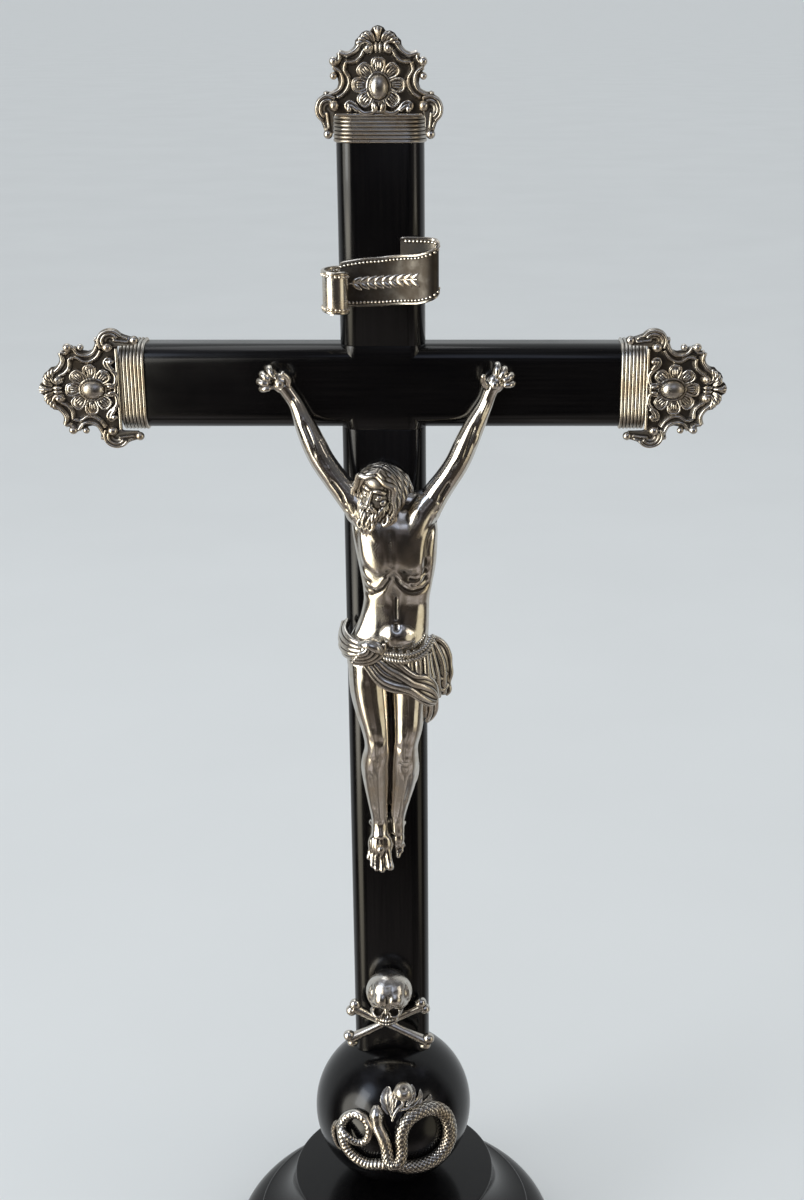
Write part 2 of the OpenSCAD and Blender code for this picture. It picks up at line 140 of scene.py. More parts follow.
def rod(points, radii, sides=6, closed=False, smooth=True, caps=True):
    # a tube through points, its radius given at each point
    deselect()
    bpy.ops.curve.primitive_nurbs_path_add()
    obj = bpy.context.object
    curve = obj.data
    curve.splines.clear()
    s = curve.splines.new("BEZIER" if smooth else "POLY")
    pts = s.bezier_points if smooth else s.points
    pts.add(len(points) - 1)
    radii = [radii] * len(points) if isinstance(radii, (int, float)) else radii
    for p, at, r in zip(pts, points, radii):
        p.radius = r
        if smooth:
            p.co = at
            p.handle_left_type = p.handle_right_type = "AUTO"
        else:
            p.co = (*at, 1)
    s.use_cyclic_u = closed
    s.resolution_u = 8
    curve.dimensions = "3D"
    curve.bevel_depth = 1
    curve.bevel_resolution = sides
    curve.use_fill_caps = caps and not closed
    bpy.ops.object.convert(target="MESH")
    return bpy.context.object


def startEdit():
    bpy.ops.object.mode_set(mode="EDIT")
    bpy.ops.mesh.select_all(action="SELECT")


def finishEdit(merge=0):
    # doubles are merged, every face is turned outwards, and edit mode is left
    bpy.ops.mesh.select_all(action="SELECT")
    if merge:
        bpy.ops.mesh.remove_doubles(threshold=merge)
    bpy.ops.mesh.normals_make_consistent(inside=False)
    bpy.ops.object.mode_set(mode="OBJECT")


def drawnOut(outline, move):
    # a circle whose rim is laid on the outline, filled, and drawn out into a solid
    deselect()
    bpy.ops.mesh.primitive_circle_add(vertices=len(outline), radius=1, fill_type="NGON")
    obj = bpy.context.object
    setCoords(obj, outline)
    startEdit()
    bpy.ops.mesh.extrude_region_move(TRANSFORM_OT_translate={"value": move})
    finishEdit()
    return obj


def loft(rows, closeRows=False):
    # a skin through rows of points: a grid is laid on them and its seams are merged
    rows = np.array(rows, float)
    rows = np.concatenate([rows, rows[:, :1]], axis=1)
    if closeRows:
        rows = np.concatenate([rows, rows[:1]], axis=0)
    deselect()
    bpy.ops.mesh.primitive_grid_add(x_subdivisions=rows.shape[1] - 1, y_subdivisions=rows.shape[0] - 1,
                                    size=1)
    obj = bpy.context.object
    setCoords(obj, rows.reshape(-1, 3))
    startEdit()
    finishEdit(0.0005)
    return obj


def fused(parts, voxel, softening=4, factor=0.5):
    # the parts become one closed skin
    obj = joined(parts)
    addModifier(obj, "REMESH", mode="VOXEL", voxel_size=voxel)
    if softening:
        addModifier(obj, "SMOOTH", iterations=softening, factor=factor)
    return applyModifiers(obj)


def soften(obj, iterations, factor=0.5):
    addModifier(obj, "SMOOTH", iterations=iterations, factor=factor)
    return applyModifiers(obj)


def pathDistance(co, path):
    # distance of each point to a path, and how far along it the nearest place is, 0 to 1
    path = np.array(path, float)
    best = np.full(len(co), 1e9)
    along = np.zeros(len(co))
    count = len(path) - 1
    for i in range(count):
        a, b = path[i], path[i + 1]
        ab = b - a
        t = np.clip(((co - a) @ ab) / max(ab @ ab, 1e-12), 0, 1)
        d = np.linalg.norm(co - a - t[:, None] * ab, axis=1)
        near = d < best
        best[near] = d[near]
        along[near] = (i + t[near]) / count
    return best, along


def curvePoints(points, steps=6):
    # a smooth line through the points
    p = np.array(points, float)
    if len(p) < 3:
        return p
    out = []
    for i in range(len(p) - 1):
        a, b = p[max(i - 1, 0)], p[i]
        c, d = p[i + 1], p[min(i + 2, len(p) - 1)]
        for k in range(steps):
            t = k / steps
            out.append(0.5 * (2 * b + (c - a) * t + (2 * a - 5 * b + 4 * c - d) * t * t
                              + (3 * b - a - 3 * c + d) * t ** 3))
    out.append(p[-1])
    return np.array(out)


def carve(obj, strokes):
    # each stroke pushes the skin in (-) or out (+) along a line: points, width, depth
    # a line of (x, z) points is drawn on the front alone
    co, no = coords(obj), normals(obj)
    move = np.zeros(len(co))
    for points, width, depth in strokes:
        flat = len(points[0]) == 2
        at = co[:, [0, 2]] if flat else co
        line = curvePoints(points)
        near = np.all((at > line.min(0) - 2.5 * width) & (at < line.max(0) + 2.5 * width), axis=1)
        if not near.any():
            continue
        d, along = pathDistance(at[near], line)
        fade = np.clip(np.minimum(along, 1 - along) * 5 + 0.25, 0, 1) if len(line) > 2 else 1
        front = np.clip(-1.6 * no[near, 1], 0, 1) if flat else 1
        move[near] += depth * fade * front * np.exp(-(d / width) ** 2)
    return setCoords(obj, co + no * move[:, None])


def boolean(obj, cutter, operation="DIFFERENCE"):
    addModifier(obj, "BOOLEAN", operation=operation, object=cutter, solver="EXACT")
    applyModifiers(obj)
    bpy.data.objects.remove(cutter)
    return obj


def markHollows(obj, rounds=(6, 40)):
    # a vertex attribute, 0 on the worn high places and 1 in the recesses, for the tarnish
    co, no = coords(obj), normals(obj)
    total = np.zeros(len(co))
    for n in rounds:
        only(obj)
        bpy.ops.object.duplicate()
        copy = bpy.context.object
        soften(copy, n, 0.8)
        depth = np.einsum("ij,ij->i", coords(copy) - co, no)
        bpy.data.objects.remove(copy)
        spread = np.percentile(np.abs(depth), 92) + 1e-9
        total += np.clip(depth / spread, -1, 1)
    value = np.clip(0.5 + 0.5 * total / len(rounds), 0, 1)
    layer = obj.data.attributes.new("hollow", "FLOAT", "POINT")
    layer.data.foreach_set("value", value.astype(np.float32))
    return obj


def settle(obj, name, material, body, stands=(), crease=40):
    # the finished piece: down to metres, smooth shaded, named, and riding on its body
    applyPlace(obj)
    setCoords(obj, coords(obj) * mm)
    obj.name = name
    obj.data.name = name
    obj.data.materials.clear()
    obj.data.materials.append(material)
    only(obj)
    bpy.ops.object.shade_smooth_by_angle(angle=math.radians(crease))
    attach(obj, body)
    if stands:
        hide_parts(*stands)
    return obj


def newMaterial(name):
    mat = bpy.data.materials.new(name)
    mat.use_nodes = True
    tree = mat.node_tree
    shader = tree.nodes["Principled BSDF"]
    return mat, tree, shader


def addNode(tree, kind, inputs=None, **settings):
    node = tree.nodes.new(kind)
    for key, value in settings.items():
        setattr(node, key, value)
    for key, value in (inputs or {}).items():
        node.inputs[key].default_value = value
    return node


def link(tree, a, out, b, into):
    tree.links.new(a.outputs[out], b.inputs[into])


def objectCoords(tree, scale=(1, 1, 1), turn=(0, 0, 0)):
    place = addNode(tree, "ShaderNodeTexCoord")
    mapping = addNode(tree, "ShaderNodeMapping", {"Scale": scale, "Rotation": turn})
    link(tree, place, "Object", mapping, "Vector")
    return mapping


def noise(tree, place, scale, detail=4, roughness=0.55):
    n = addNode(tree, "ShaderNodeTexNoise", {"Scale": scale, "Detail": detail, "Roughness": roughness})
    link(tree, place, "Vector", n, "Vector")
    return n


def ramp(tree, source, out, stops):
    r = addNode(tree, "ShaderNodeValToRGB")
    while len(r.color_ramp.elements) < len(stops):
        r.color_ramp.elements.new(0.5)
    for element, (at, colour) in zip(r.color_ramp.elements, stops):
        element.position = at
        element.color = (*colour, 1) if len(colour) == 3 else colour
    link(tree, source, out, r, "Fac")
    return r


def grey(v):
    return (v, v, v)


def mixColour(tree, fac, facOut, a, aOut, b, bOut, blend="MIX"):
    m = addNode(tree, "ShaderNodeMix", data_type="RGBA", blend_type=blend)
    if fac is None:
        m.inputs[0].default_value = facOut
    else:
        link(tree, fac, facOut, m, 0)
    for source, out, slot in ((a, aOut, 6), (b, bOut, 7)):
        if source is None:
            m.inputs[slot].default_value = (*out, 1)
        else:
            tree.links.new(source.outputs[out], m.inputs[slot])
    return m


silverLook = {
    "bright": (0.83, 0.80, 0.74),      # rubbed silver
    "warm": (0.60, 0.47, 0.31),        # yellow-brown tarnish
    "dark": (0.035, 0.027, 0.021),     # sulphide in the recesses
    "roughness": (0.15, 0.36),
}


def agedSilver(name, tarnish=0.5, warmth=0.4, hollowAt=(0.52, 0.78), look=silverLook):
    # tarnish: how far the dark has crept out of the recesses; warmth: how much brown film
    mat, tree, shader = newMaterial(name)
    place = objectCoords(tree)
    hollow = addNode(tree, "ShaderNodeAttribute", attribute_name="hollow")
    stain = noise(tree, place, 95, 5, 0.6)
    speck = noise(tree, place, 900, 3, 0.6)
    film = ramp(tree, stain, "Fac", [(0.42, (0, 0, 0)), (0.66, grey(warmth))])
    base = mixColour(tree, film, "Color", None, look["bright"], None, look["warm"])
    wobble = addNode(tree, "ShaderNodeMath", {2: -0.06}, operation="MULTIPLY_ADD")
    link(tree, stain, "Fac", wobble, 0)
    wobble.inputs[1].default_value = 0.22 * tarnish
    depth = addNode(tree, "ShaderNodeMath", operation="ADD")
    link(tree, hollow, "Fac", depth, 0)
    link(tree, wobble, "Value", depth, 1)
    dark = ramp(tree, depth, "Value", [(hollowAt[0] - 0.1 * tarnish, (0, 0, 0)), (hollowAt[1], grey(0.93))])
    colour = mixColour(tree, dark, "Color", base, 2, None, look["dark"])
    link(tree, colour, 2, shader, "Base Color")
    smooth, worn = look["roughness"]
    rough = addNode(tree, "ShaderNodeMapRange",
                    {"From Min": 0.3, "From Max": 0.75, "To Min": smooth, "To Max": worn})
    link(tree, stain, "Fac", rough, "Value")
    rougher = addNode(tree, "ShaderNodeMath", {1: 0.3}, operation="MULTIPLY")
    link(tree, dark, "Color", rougher, 0)
    total = addNode(tree, "ShaderNodeMath", operation="ADD", use_clamp=True)
    link(tree, rough, "Result", total, 0)
    link(tree, rougher, "Value", total, 1)
    link(tree, total, "Value", shader, "Roughness")
    bump = addNode(tree, "ShaderNodeBump", {"Strength": 0.12, "Distance": 0.0002})
    link(tree, speck, "Fac", bump, "Height")
    link(tree, bump, "Normal", shader, "Normal")
    shader.inputs["Metallic"].default_value = 1
    return mat


woodLook = {
    "deep": (0.0016, 0.0016, 0.0021),
    "streak": (0.0052, 0.0046, 0.0046),
    "roughness": (0.15, 0.28),
    "coat": 0.25,
}


def ebonisedWood(name, along="Z", gloss=1.0, look=woodLook):
    # black stained and lacquered wood; the grain runs along one axis, or round a turned piece
    mat, tree, shader = newMaterial(name)
    stretch = {"X": (18, 900, 900), "Z": (900, 900, 18), "turned": (320, 320, 950)}[along]
    grain = noise(tree, objectCoords(tree, stretch), 1, 4, 0.65)
    cloud = noise(tree, objectCoords(tree), 26, 4, 0.6)
    rubs = noise(tree, objectCoords(tree, {"X": (60, 1500, 1500), "Z": (1500, 1500, 60),
                                           "turned": (400, 400, 400)}[along]), 1, 5, 0.7)
    colour = ramp(tree, grain, "Fac", [(0.38, look["deep"]), (0.72, look["streak"])])
    link(tree, colour, "Color", shader, "Base Color")
    rough = addNode(tree, "ShaderNodeMapRange", {"From Min": 0.35, "From Max": 0.7,
                                                 "To Min": look["roughness"][0] / gloss,
                                                 "To Max": look["roughness"][1] / gloss})
    link(tree, cloud, "Fac", rough, "Value")
    scratch = ramp(tree, rubs, "Fac", [(0.62, (0, 0, 0)), (0.8, grey(0.12))])
    total = addNode(tree, "ShaderNodeMath", operation="ADD", use_clamp=True)
    link(tree, rough, "Result", total, 0)
    link(tree, scratch, "Color", total, 1)
    link(tree, total, "Value", shader, "Roughness")
    bump = addNode(tree, "ShaderNodeBump", {"Strength": 0.10, "Distance": 0.00015})
    link(tree, grain, "Fac", bump, "Height")
    link(tree, bump, "Normal", shader, "Normal")
    shader.inputs["Coat Weight"].default_value = look["coat"]
    shader.inputs["Coat Roughness"].default_value = 0.09
    shader.inputs["Specular IOR Level"].default_value = 0.3
    return mat


def plainMetal(name, colour, roughness):
    # sheet, pins and hidden fittings: a plain metal with a little brushing and stain
    mat, tree, shader = newMaterial(name)
    place = objectCoords(tree)
    stain = noise(tree, place, 140, 5, 0.6)
    shade = ramp(tree, stain, "Fac", [(0.35, [c * 0.45 for c in colour]), (0.6, colour)])
    link(tree, shade, "Color", shader, "Base Color")
    rough = addNode(tree, "ShaderNodeMapRange", {"To Min": roughness * 0.8, "To Max": roughness * 1.5})
    link(tree, stain, "Fac", rough, "Value")
    link(tree, rough, "Result", shader, "Roughness")
    bump = addNode(tree, "ShaderNodeBump", {"Strength": 0.1, "Distance": 0.0001})
    link(tree, noise(tree, objectCoords(tree, (1, 1, 8)), 700, 3), "Fac", bump, "Height")
    link(tree, bump, "Normal", shader, "Normal")
    shader.inputs["Metallic"].default_value = 1
    return mat


def bareWood(name):
    mat, tree, shader = newMaterial(name)
    grain = noise(tree, objectCoords(tree, (700, 700, 40)), 1, 5, 0.6)
    colour = ramp(tree, grain, "Fac", [(0.35, (0.30, 0.19, 0.10)), (0.65, (0.55, 0.40, 0.25))])
    link(tree, colour, "Color", shader, "Base Color")
    bump = addNode(tree, "ShaderNodeBump", {"Strength": 0.3, "Distance": 0.0002})
    link(tree, grain, "Fac", bump, "Height")
    link(tree, bump, "Normal", shader, "Normal")
    shader.inputs["Roughness"].default_value = 0.65
    return mat


def woolFelt(name):
    mat, tree, shader = newMaterial(name)
    fibres = noise(tree, objectCoords(tree), 2600, 6, 0.75)
    patches = noise(tree, objectCoords(tree), 60, 3)
    fleck = mixColour(tree, patches, "Fac", None, (0.012, 0.05, 0.028), None, (0.022, 0.085, 0.045))
    colour = mixColour(tree, fibres, "Fac", fleck, 2, None, (0.05, 0.13, 0.08))
    link(tree, colour, 2, shader, "Base Color")
    bump = addNode(tree, "ShaderNodeBump", {"Strength": 0.8, "Distance": 0.0004})
    link(tree, fibres, "Fac", bump, "Height")
    link(tree, bump, "Normal", shader, "Normal")
    shader.inputs["Roughness"].default_value = 0.95
    shader.inputs["Sheen Weight"].default_value = 0.3
    return mat


barWood = ebonisedWood("ebonisedBar", "X")
shaftWood = ebonisedWood("ebonisedShaft", "Z")
turnedWood = ebonisedWood("ebonisedTurned", "turned", 1.15)
castSilver = agedSilver("castSilver", 0.6, 0.35)
capSilver = agedSilver("capSilver", 0.9, 0.7, (0.42, 0.68))
scrollSilver = agedSilver("scrollSilver", 0.9, 0.6, (0.44, 0.76))
corpusSilver = agedSilver("corpusSilver", 0.45, 0.45, (0.56, 0.82),
                          dict(silverLook, roughness=(0.10, 0.26)))
headSilver = agedSilver("headSilver", 0.9, 0.7, (0.42, 0.66))
clothSilver = agedSilver("clothSilver", 0.7, 0.45, (0.48, 0.74))
serpentSilver = agedSilver("serpentSilver", 0.9, 0.7, (0.40, 0.70))
appleSilver = agedSilver("appleSilver", 0.6, 0.4, (0.50, 0.76))
plainSilver = plainMetal("plainSilver", (0.58, 0.54, 0.47), 0.32)
steel = plainMetal("steel", (0.45, 0.46, 0.48), 0.3)
brass = plainMetal("brass", (0.62, 0.45, 0.19), 0.3)
dowelWood = bareWood("dowelWood")
felt = woolFelt("felt")
print("materials made")


keptNodes = {
    "base_felt": felt, "tie_bolt": steel, "tie_washer": steel, "tie_insert": brass,
    "dowel_lower": dowelWood, "dowel_upper": dowelWood, "ferrule_pins": plainSilver,
    "title_pins": plainSilver, "skull_pin": plainSilver, "corpus_pins": plainSilver,
    "serpent_pins": plainSilver,
}
for nodeName, mat in keptNodes.items():
    nodes[nodeName].data.materials.clear()
    nodes[nodeName].data.materials.append(mat)


beamShape = {"shoulder": 9, "back": 3, "arcSteps": 14, "endBevel": 0.35}


def beamOutline(grow=0):
    # x across, y front to back, anticlockwise seen from the end
    points = []
    shoulder, back = beamShape["shoulder"], beamShape["back"]
    corners = [(beamHalf - back, beamBack - back, back, 0),
               (back - beamHalf, beamBack - back, back, 90),
               (shoulder - beamHalf, beamFront + shoulder, shoulder, 180),
               (beamHalf - shoulder, beamFront + shoulder, shoulder, 270)]
    for x, y, r, start in corners:
        for k in range(beamShape["arcSteps"] + 1):
            a = math.radians(start + 90 * k / beamShape["arcSteps"])
            points.append((x + (r + grow) * math.cos(a), y + (r + grow) * math.sin(a)))
    return points


def beamBetween(low, high):
    obj = drawnOut([(x, y, low) for x, y in beamOutline()], (0, 0, high - low))
    addModifier(obj, "BEVEL", width=beamShape["endBevel"], segments=2, limit_method="ANGLE",
                angle_limit=math.radians(60))
    return applyModifiers(obj)


def blockCutter(low, high):
    deselect()
    bpy.ops.mesh.primitive_cube_add(size=1, location=[(a + b) / 2 for a, b in zip(low, high)])
    obj = bpy.context.object
    obj.scale = [b - a for a, b in zip(low, high)]
    return applyPlace(obj)


tenon = {"width": 16, "thick": 10, "below": 0.1, "gap": 0.15, "chamfer": 0.8}


def makeShaftLower():
    obj = beamBetween(orbMid[2] + 20, crossZ - beamHalf)
    cope = ball(orbMid, orbR + 0.3, steps=(128, 96))
    boolean(obj, cope)
    peg = blockCutter([-tenon["width"] / 2, -tenon["thick"] / 2, shaftFoot],
                      [tenon["width"] / 2, tenon["thick"] / 2, orbMid[2] + orbR + 3])
    addModifier(peg, "BEVEL", width=tenon["chamfer"], segments=2)
    boolean(obj, applyModifiers(peg), "UNION")
    return settle(obj, "shaftLower", shaftWood, "cross", ["shaft_lower"], 30)


def makeShaftUpper():
    obj = beamBetween(crossZ + beamHalf, crossZ + armLen - 1)
    return settle(obj, "shaftUpper", shaftWood, "cross", ["shaft_upper"], 30)


def makeCrossbar():
    stub = beamBetween(-beamHalf, beamHalf)
    bar = beamBetween(-armLen + 1, armLen - 1)
    only(bar)
    bpy.ops.transform.rotate(value=-pi / 2, orient_axis="Y", center_override=(0, 0, 0))
    applyPlace(bar)
    boolean(bar, stub, "UNION")
    bar.location = (0, 0, crossZ)
    return settle(bar, "crossbar_wood", barWood, "cross", ["crossbar"], 25)


makeShaftLower()
makeShaftUpper()
makeCrossbar()
print("beams made")


def arc(x, z, r, start, end, steps=12):
    return [(x + r * math.cos(math.radians(start + (end - start) * k / steps)),
             z + r * math.sin(math.radians(start + (end - start) * k / steps))) for k in range(steps + 1)]


def turned(profile, steps=144):
    # a profile of (radius, height) points, spun round the upright axis
    deselect()
    bpy.ops.mesh.primitive_circle_add(vertices=len(profile), radius=1, fill_type="NOTHING")
    obj = bpy.context.object
    setCoords(obj, [(r, 0, z) for r, z in profile])
    startEdit()
    bpy.ops.mesh.spin(steps=steps, angle=2 * pi, center=(0, 0, 0), axis=(0, 0, 1))
    bpy.ops.mesh.select_all(action="SELECT")
    bpy.ops.mesh.remove_doubles(threshold=0.001)
    bpy.ops.mesh.dissolve_degenerate(threshold=0.0005)
    finishEdit()
    return obj


orbShape = {"pole": 6, "wellTop": 42, "wellFoot": 20}


def makeOrb():
    bore = orbShape["pole"]
    profile = arc(0, orbMid[2], orbR, -90 + math.degrees(math.asin(bore / orbR)), 90, 96)
    profile[-1] = (0, orbMid[2] + orbR)
    foot = orbMid[2] - orbShape["wellFoot"]
    profile += [(0, orbMid[2] + orbR - orbShape["wellTop"]), (0, foot), (bore, foot)]
    obj = turned(profile)
    across, deep = tenon["width"] / 2 + tenon["gap"], tenon["thick"] / 2 + tenon["gap"]
    mouth = blockCutter([-across, -deep, shaftFoot - tenon["below"]], [across, deep, orbMid[2] + 2 * orbR])
    boolean(obj, mouth)
    return settle(obj, "orbBall", turnedWood, "stand", ["orb"], 30)


footShape = {
    "feltTop": 2, "footR": 95, "rollR": 17, "jointZ": 34,
    "flangeR": 80, "flangeH": 5, "edgeR": 1.5, "coveR": 26.6, "coveOut": 4, "coveDown": 2,
    "rimR": 58.4, "rimH": 3.5, "rimEdge": 1.2, "boreR": 4.3, "recessR": 15, "recessZ": 14,
}
rimZ = span("base_collar")[2][1]


def makeFoot():
    f = footShape
    rollX, rollZ = f["footR"] - f["rollR"], f["jointZ"] - f["rollR"]
    profile = [(f["recessR"], f["feltTop"])] + arc(f["footR"] - 2, f["feltTop"] + 2, 2, -90, 0, 6)
    profile += arc(rollX, rollZ, f["rollR"], 0, 90, 30)
    profile += [(f["boreR"], f["jointZ"]), (f["boreR"], f["recessZ"]), (f["recessR"], f["recessZ"])]
    obj = turned(profile, 180)
    return settle(obj, "footRoll", turnedWood, "stand", ["base_foot"], 30)


def makeCollar():
    f = footShape
    low, edge = f["jointZ"] + 0.02, f["edgeR"]
    profile = [(f["boreR"], low)] + arc(f["flangeR"] - edge, low + edge, edge, -90, 0, 6)
    profile += arc(f["flangeR"] - edge, f["jointZ"] + f["flangeH"] - edge, edge, 0, 90, 6)
    coveX, coveZ = f["flangeR"] + f["coveOut"], rimZ - f["coveDown"]
    rimLow = rimZ - f["rimH"]
    down = math.degrees(math.asin((f["jointZ"] + f["flangeH"] - coveZ) / f["coveR"]))
    up = math.degrees(math.asin((rimLow - coveZ) / f["coveR"]))
    profile += arc(coveX, coveZ, f["coveR"], 180 - down, 180 - up, 30)
    profile += arc(f["rimR"] - f["rimEdge"], rimLow + f["rimEdge"], f["rimEdge"], -90, 0, 5)
    profile += arc(f["rimR"] - f["rimEdge"], rimZ - f["rimEdge"], f["rimEdge"], 0, 90, 5)
    seat = orbR + 0.1
    dishR = math.sqrt(seat ** 2 - (orbMid[2] - rimZ) ** 2)
    startAngle = math.degrees(math.atan2(rimZ - orbMid[2], dishR))
    endAngle = math.degrees(math.atan2(-math.sqrt(seat ** 2 - f["boreR"] ** 2), f["boreR"]))
    profile += arc(0, orbMid[2], seat, startAngle, endAngle, 4)
    obj = turned(profile, 180)
    return settle(obj, "footCollar", turnedWood, "stand", ["base_collar"], 30)


makeOrb()
makeFoot()
makeCollar()
print("orb and foot made")


# u runs across the beam and v outwards from the ferrule's outer edge

def slab(outline, front, back, bevel=0):
    # a flat plate cut to an outline of (u, v) points, standing across the depth
    obj = drawnOut([(u, front, v) for u, v in outline], (0, back - front, 0))
    if bevel:
        addModifier(obj, "BEVEL", width=bevel, segments=3, limit_method="ANGLE",
                    angle_limit=math.radians(50))
        applyModifiers(obj)
    return obj


ferruleShape = {"proud": 1.3, "groove": 0.85, "reeds": 7, "reedSteps": 6, "wall": 0.05}


def makeFerrule():
    f = ferruleShape
    reed = ferruleLen / f["reeds"]
    profile = []
    for i in range(f["reeds"]):
        for k in range(f["reedSteps"] + (i == f["reeds"] - 1)):
            t = k / f["reedSteps"]
            swell = max(math.sin(pi * t), 0) ** 0.6
            profile.append((f["proud"] - f["groove"] * (1 - swell), (i + t) * reed - ferruleLen))
    profile += [(f["wall"], 0), (f["wall"], -ferruleLen)]
    return loft([[(x, y, z) for x, y in beamOutline(grow)] for grow, z in profile], closeRows=True)


capOutline = [(22.6, 0.2), (24.6, 9.2), (24.7, 11.3), (22.0, 10.4), (19.6, 11.9), (18.7, 14.6),
              (19.2, 17.6), (21.0, 20.9), (20.0, 23.6), (18.6, 26.6), (18.3, 28.4), (15.4, 28.0),
              (12.6, 29.4), (10.9, 31.4), (10.6, 33.6), (9.0, 35.0), (7.6, 36.9), (5.6, 37.9), (3.6, 37.6),
              (2.6, 39.2)]
capRidges = [
    # a curve of (u, v) points and the radius of the ridge along it
    ([(24.6, 11.0), (24.2, 9.4), (20.9, 10.2), (18.0, 12.2), (16.7, 15.6), (17.6, 19.4), (20.8, 21.9)],
     0.62),
    ([(19.4, 8.2), (16.2, 10.2), (14.0, 13.6), (13.9, 17.0), (15.9, 20.6), (15.1, 24.0)], 0.6),
    ([(15.1, 24.1), (11.2, 24.3), (8.4, 26.3), (6.8, 29.2)], 0.6),
    ([(18.2, 28.2), (14.2, 27.4), (10.6, 29.4), (8.0, 32.4), (5.6, 33.2), (3.4, 31.8), (3.3, 29.6),
      (4.8, 28.5), (6.2, 29.7), (5.3, 30.9)], 0.72),
    ([(18.3, 28.2), (18.0, 26.0), (19.4, 23.6), (21.2, 21.8)], 0.55),
]
capShape = {
    "plateFront": -10.5, "plateBack": -8.25, "ridgeY": -11.7, "ground": -11.1, "voxel": 0.27,
    "petals": 8, "ringV": 14.0, "petalR": 12.0, "boss": (4.5, 3.4, 5.7), "bossV": 13.0,
}


def ridge(points, radius, y, side=1, taper=1.0):
    line = curvePoints([(u * side, y, v) for u, v in points], 5)
    n = len(line) - 1
    return rod(line, [radius * (1 - (1 - taper) * i / n) for i in range(n + 1)], sides=3, smooth=False)


def petal(turn, y):
    # a cupped petal: a rolled rim, a shallow web and three ribs
    out, across = np.array([math.sin(turn), math.cos(turn)]), np.array([math.cos(turn), -math.sin(turn)])
    centre = np.array([0, capShape["ringV"]])
    far = capShape["petalR"]

    def at(r, t, depth):
        u, v = centre + out * r + across * t
        return (u, y + depth, v)
    rim = [at(4.2, -0.9, 0.2), at(far * 0.66, -2.7, -0.5), at(far * 0.88, -2.9, -1.0),
           at(far * 0.99, -1.5, -1.1),
           at(far * 0.99, 1.5, -1.1), at(far * 0.88, 2.9, -1.0), at(far * 0.66, 2.7, -0.5),
           at(4.2, 0.9, 0.2)]
    parts = [rod(curvePoints(rim, 4), 0.5, sides=3, smooth=False)]
    for t in (-1, 0, 1):
        parts.append(rod([at(4.4, 0.3 * t, 0.2), at(far * 0.66, 1.05 * t, -0.15),
                          at(far * 0.83, 1.25 * t, -0.3)],
                         [0.34, 0.42, 0.2], sides=3))
    parts.append(ball((*at(far * 0.72, 0, 0.85)[:2], at(far * 0.72, 0, 0)[2]), (2.9, 1.0, 4.0),
                      (0, math.degrees(turn), 0), (16, 10)))
    return parts


cornerScroll = {
    # the curl beside the ferrule: its line, how it shrinks, and the leaf and ball that hang from it
    "curl": [(20.4, 8.0), (24.0, 9.0), (27.4, 7.4), (29.0, 4.0), (28.6, 0.4), (26.4, -2.2)],
    "middle": (24, 3.4),
    "coils": [(0, 0.72, -12.1), (-1.7, 0.62, -12.0), (-0.8, 1.9, -10.2), (-2.6, 1.9, -10.0)],
    "web": [(21, 9), (25, 9.4), (28, 7), (29, 3), (28, -1), (26.6, -4), (25.4, -8), (21.6, -8), (21.4, -1),
            (21, 1)],
    "leaf": [([(25.8, 1.4), (25.2, -2.0), (24.5, -4.8), (24.0, -7.0)], 2.4, -9.6, 0.72),
             ([(26.8, 0.8), (26.4, -2.0), (25.2, -5.0)], 0.6, -11.4, 0.7),
             ([(24.4, 1.6), (24.0, -2.0), (23.5, -5.6)], 0.6, -11.7, 0.7)],
}
capSwag = [(2.6, 5.2), (1.5, 3.6), (3.0, 1.9), (6.6, 1.4), (9.4, 3.0), (11.4, 5.6), (13.6, 6.5),
           (15.4, 5.2), (15.0, 3.3), (13.6, 2.9)]
capFan = [
    # tip and root of each rib of the palmette, and its radius
    ((1.5, 39.3), (0.5, 33.4), 0.72), ((4.1, 37.4), (1.6, 33.0), 0.75), ((5.9, 37.1), (2.4, 33.2), 0.8),
    ((7.6, 35.9), (3.4, 33.4), 0.8), ((9.1, 34.2), (5.0, 33.2), 0.8), ((10.0, 32.4), (6.4, 32.2), 0.7),
]


def capEdge(s):
    # the scrolled border of one half and the two balls at its waist
    y = capShape["ridgeY"]
    parts = []
    for points, radius in capRidges:
        parts += [ridge(points, radius, y, s), ridge(points, radius + 0.75, y + 1.2, s)]
    return parts + [ball((20.9 * s, -11.2, 17.9), 1.75, steps=(20, 14)),
                    ball((20.8 * s, -11.3, 24.4), (2.05, 2.0, 2.2), steps=(20, 14))]


def capCorner(s):
    c = cornerScroll
    u0, v0 = c["middle"]
    parts = [ball((20.9 * s, -12.2, 4.6), (2.3, 2.2, 2.5), steps=(24, 16))]
    for grow, radius, y in c["coils"]:
        k = 1 + grow / 5.4
        parts.append(ridge([(u0 + (u - u0) * k, v0 + (v - v0) * k) for u, v in c["curl"]], radius, y, s))
    parts.append(slab([(u * s, v) for u, v in c["web"]], -10.8, -8.4))
    parts += [ridge(points, radius, y, s, taper) for points, radius, y, taper in c["leaf"]]
    return parts + [ball((24.1 * s, -10.0, -8.4), (2.2, 2.0, 2.2), steps=(18, 12))]


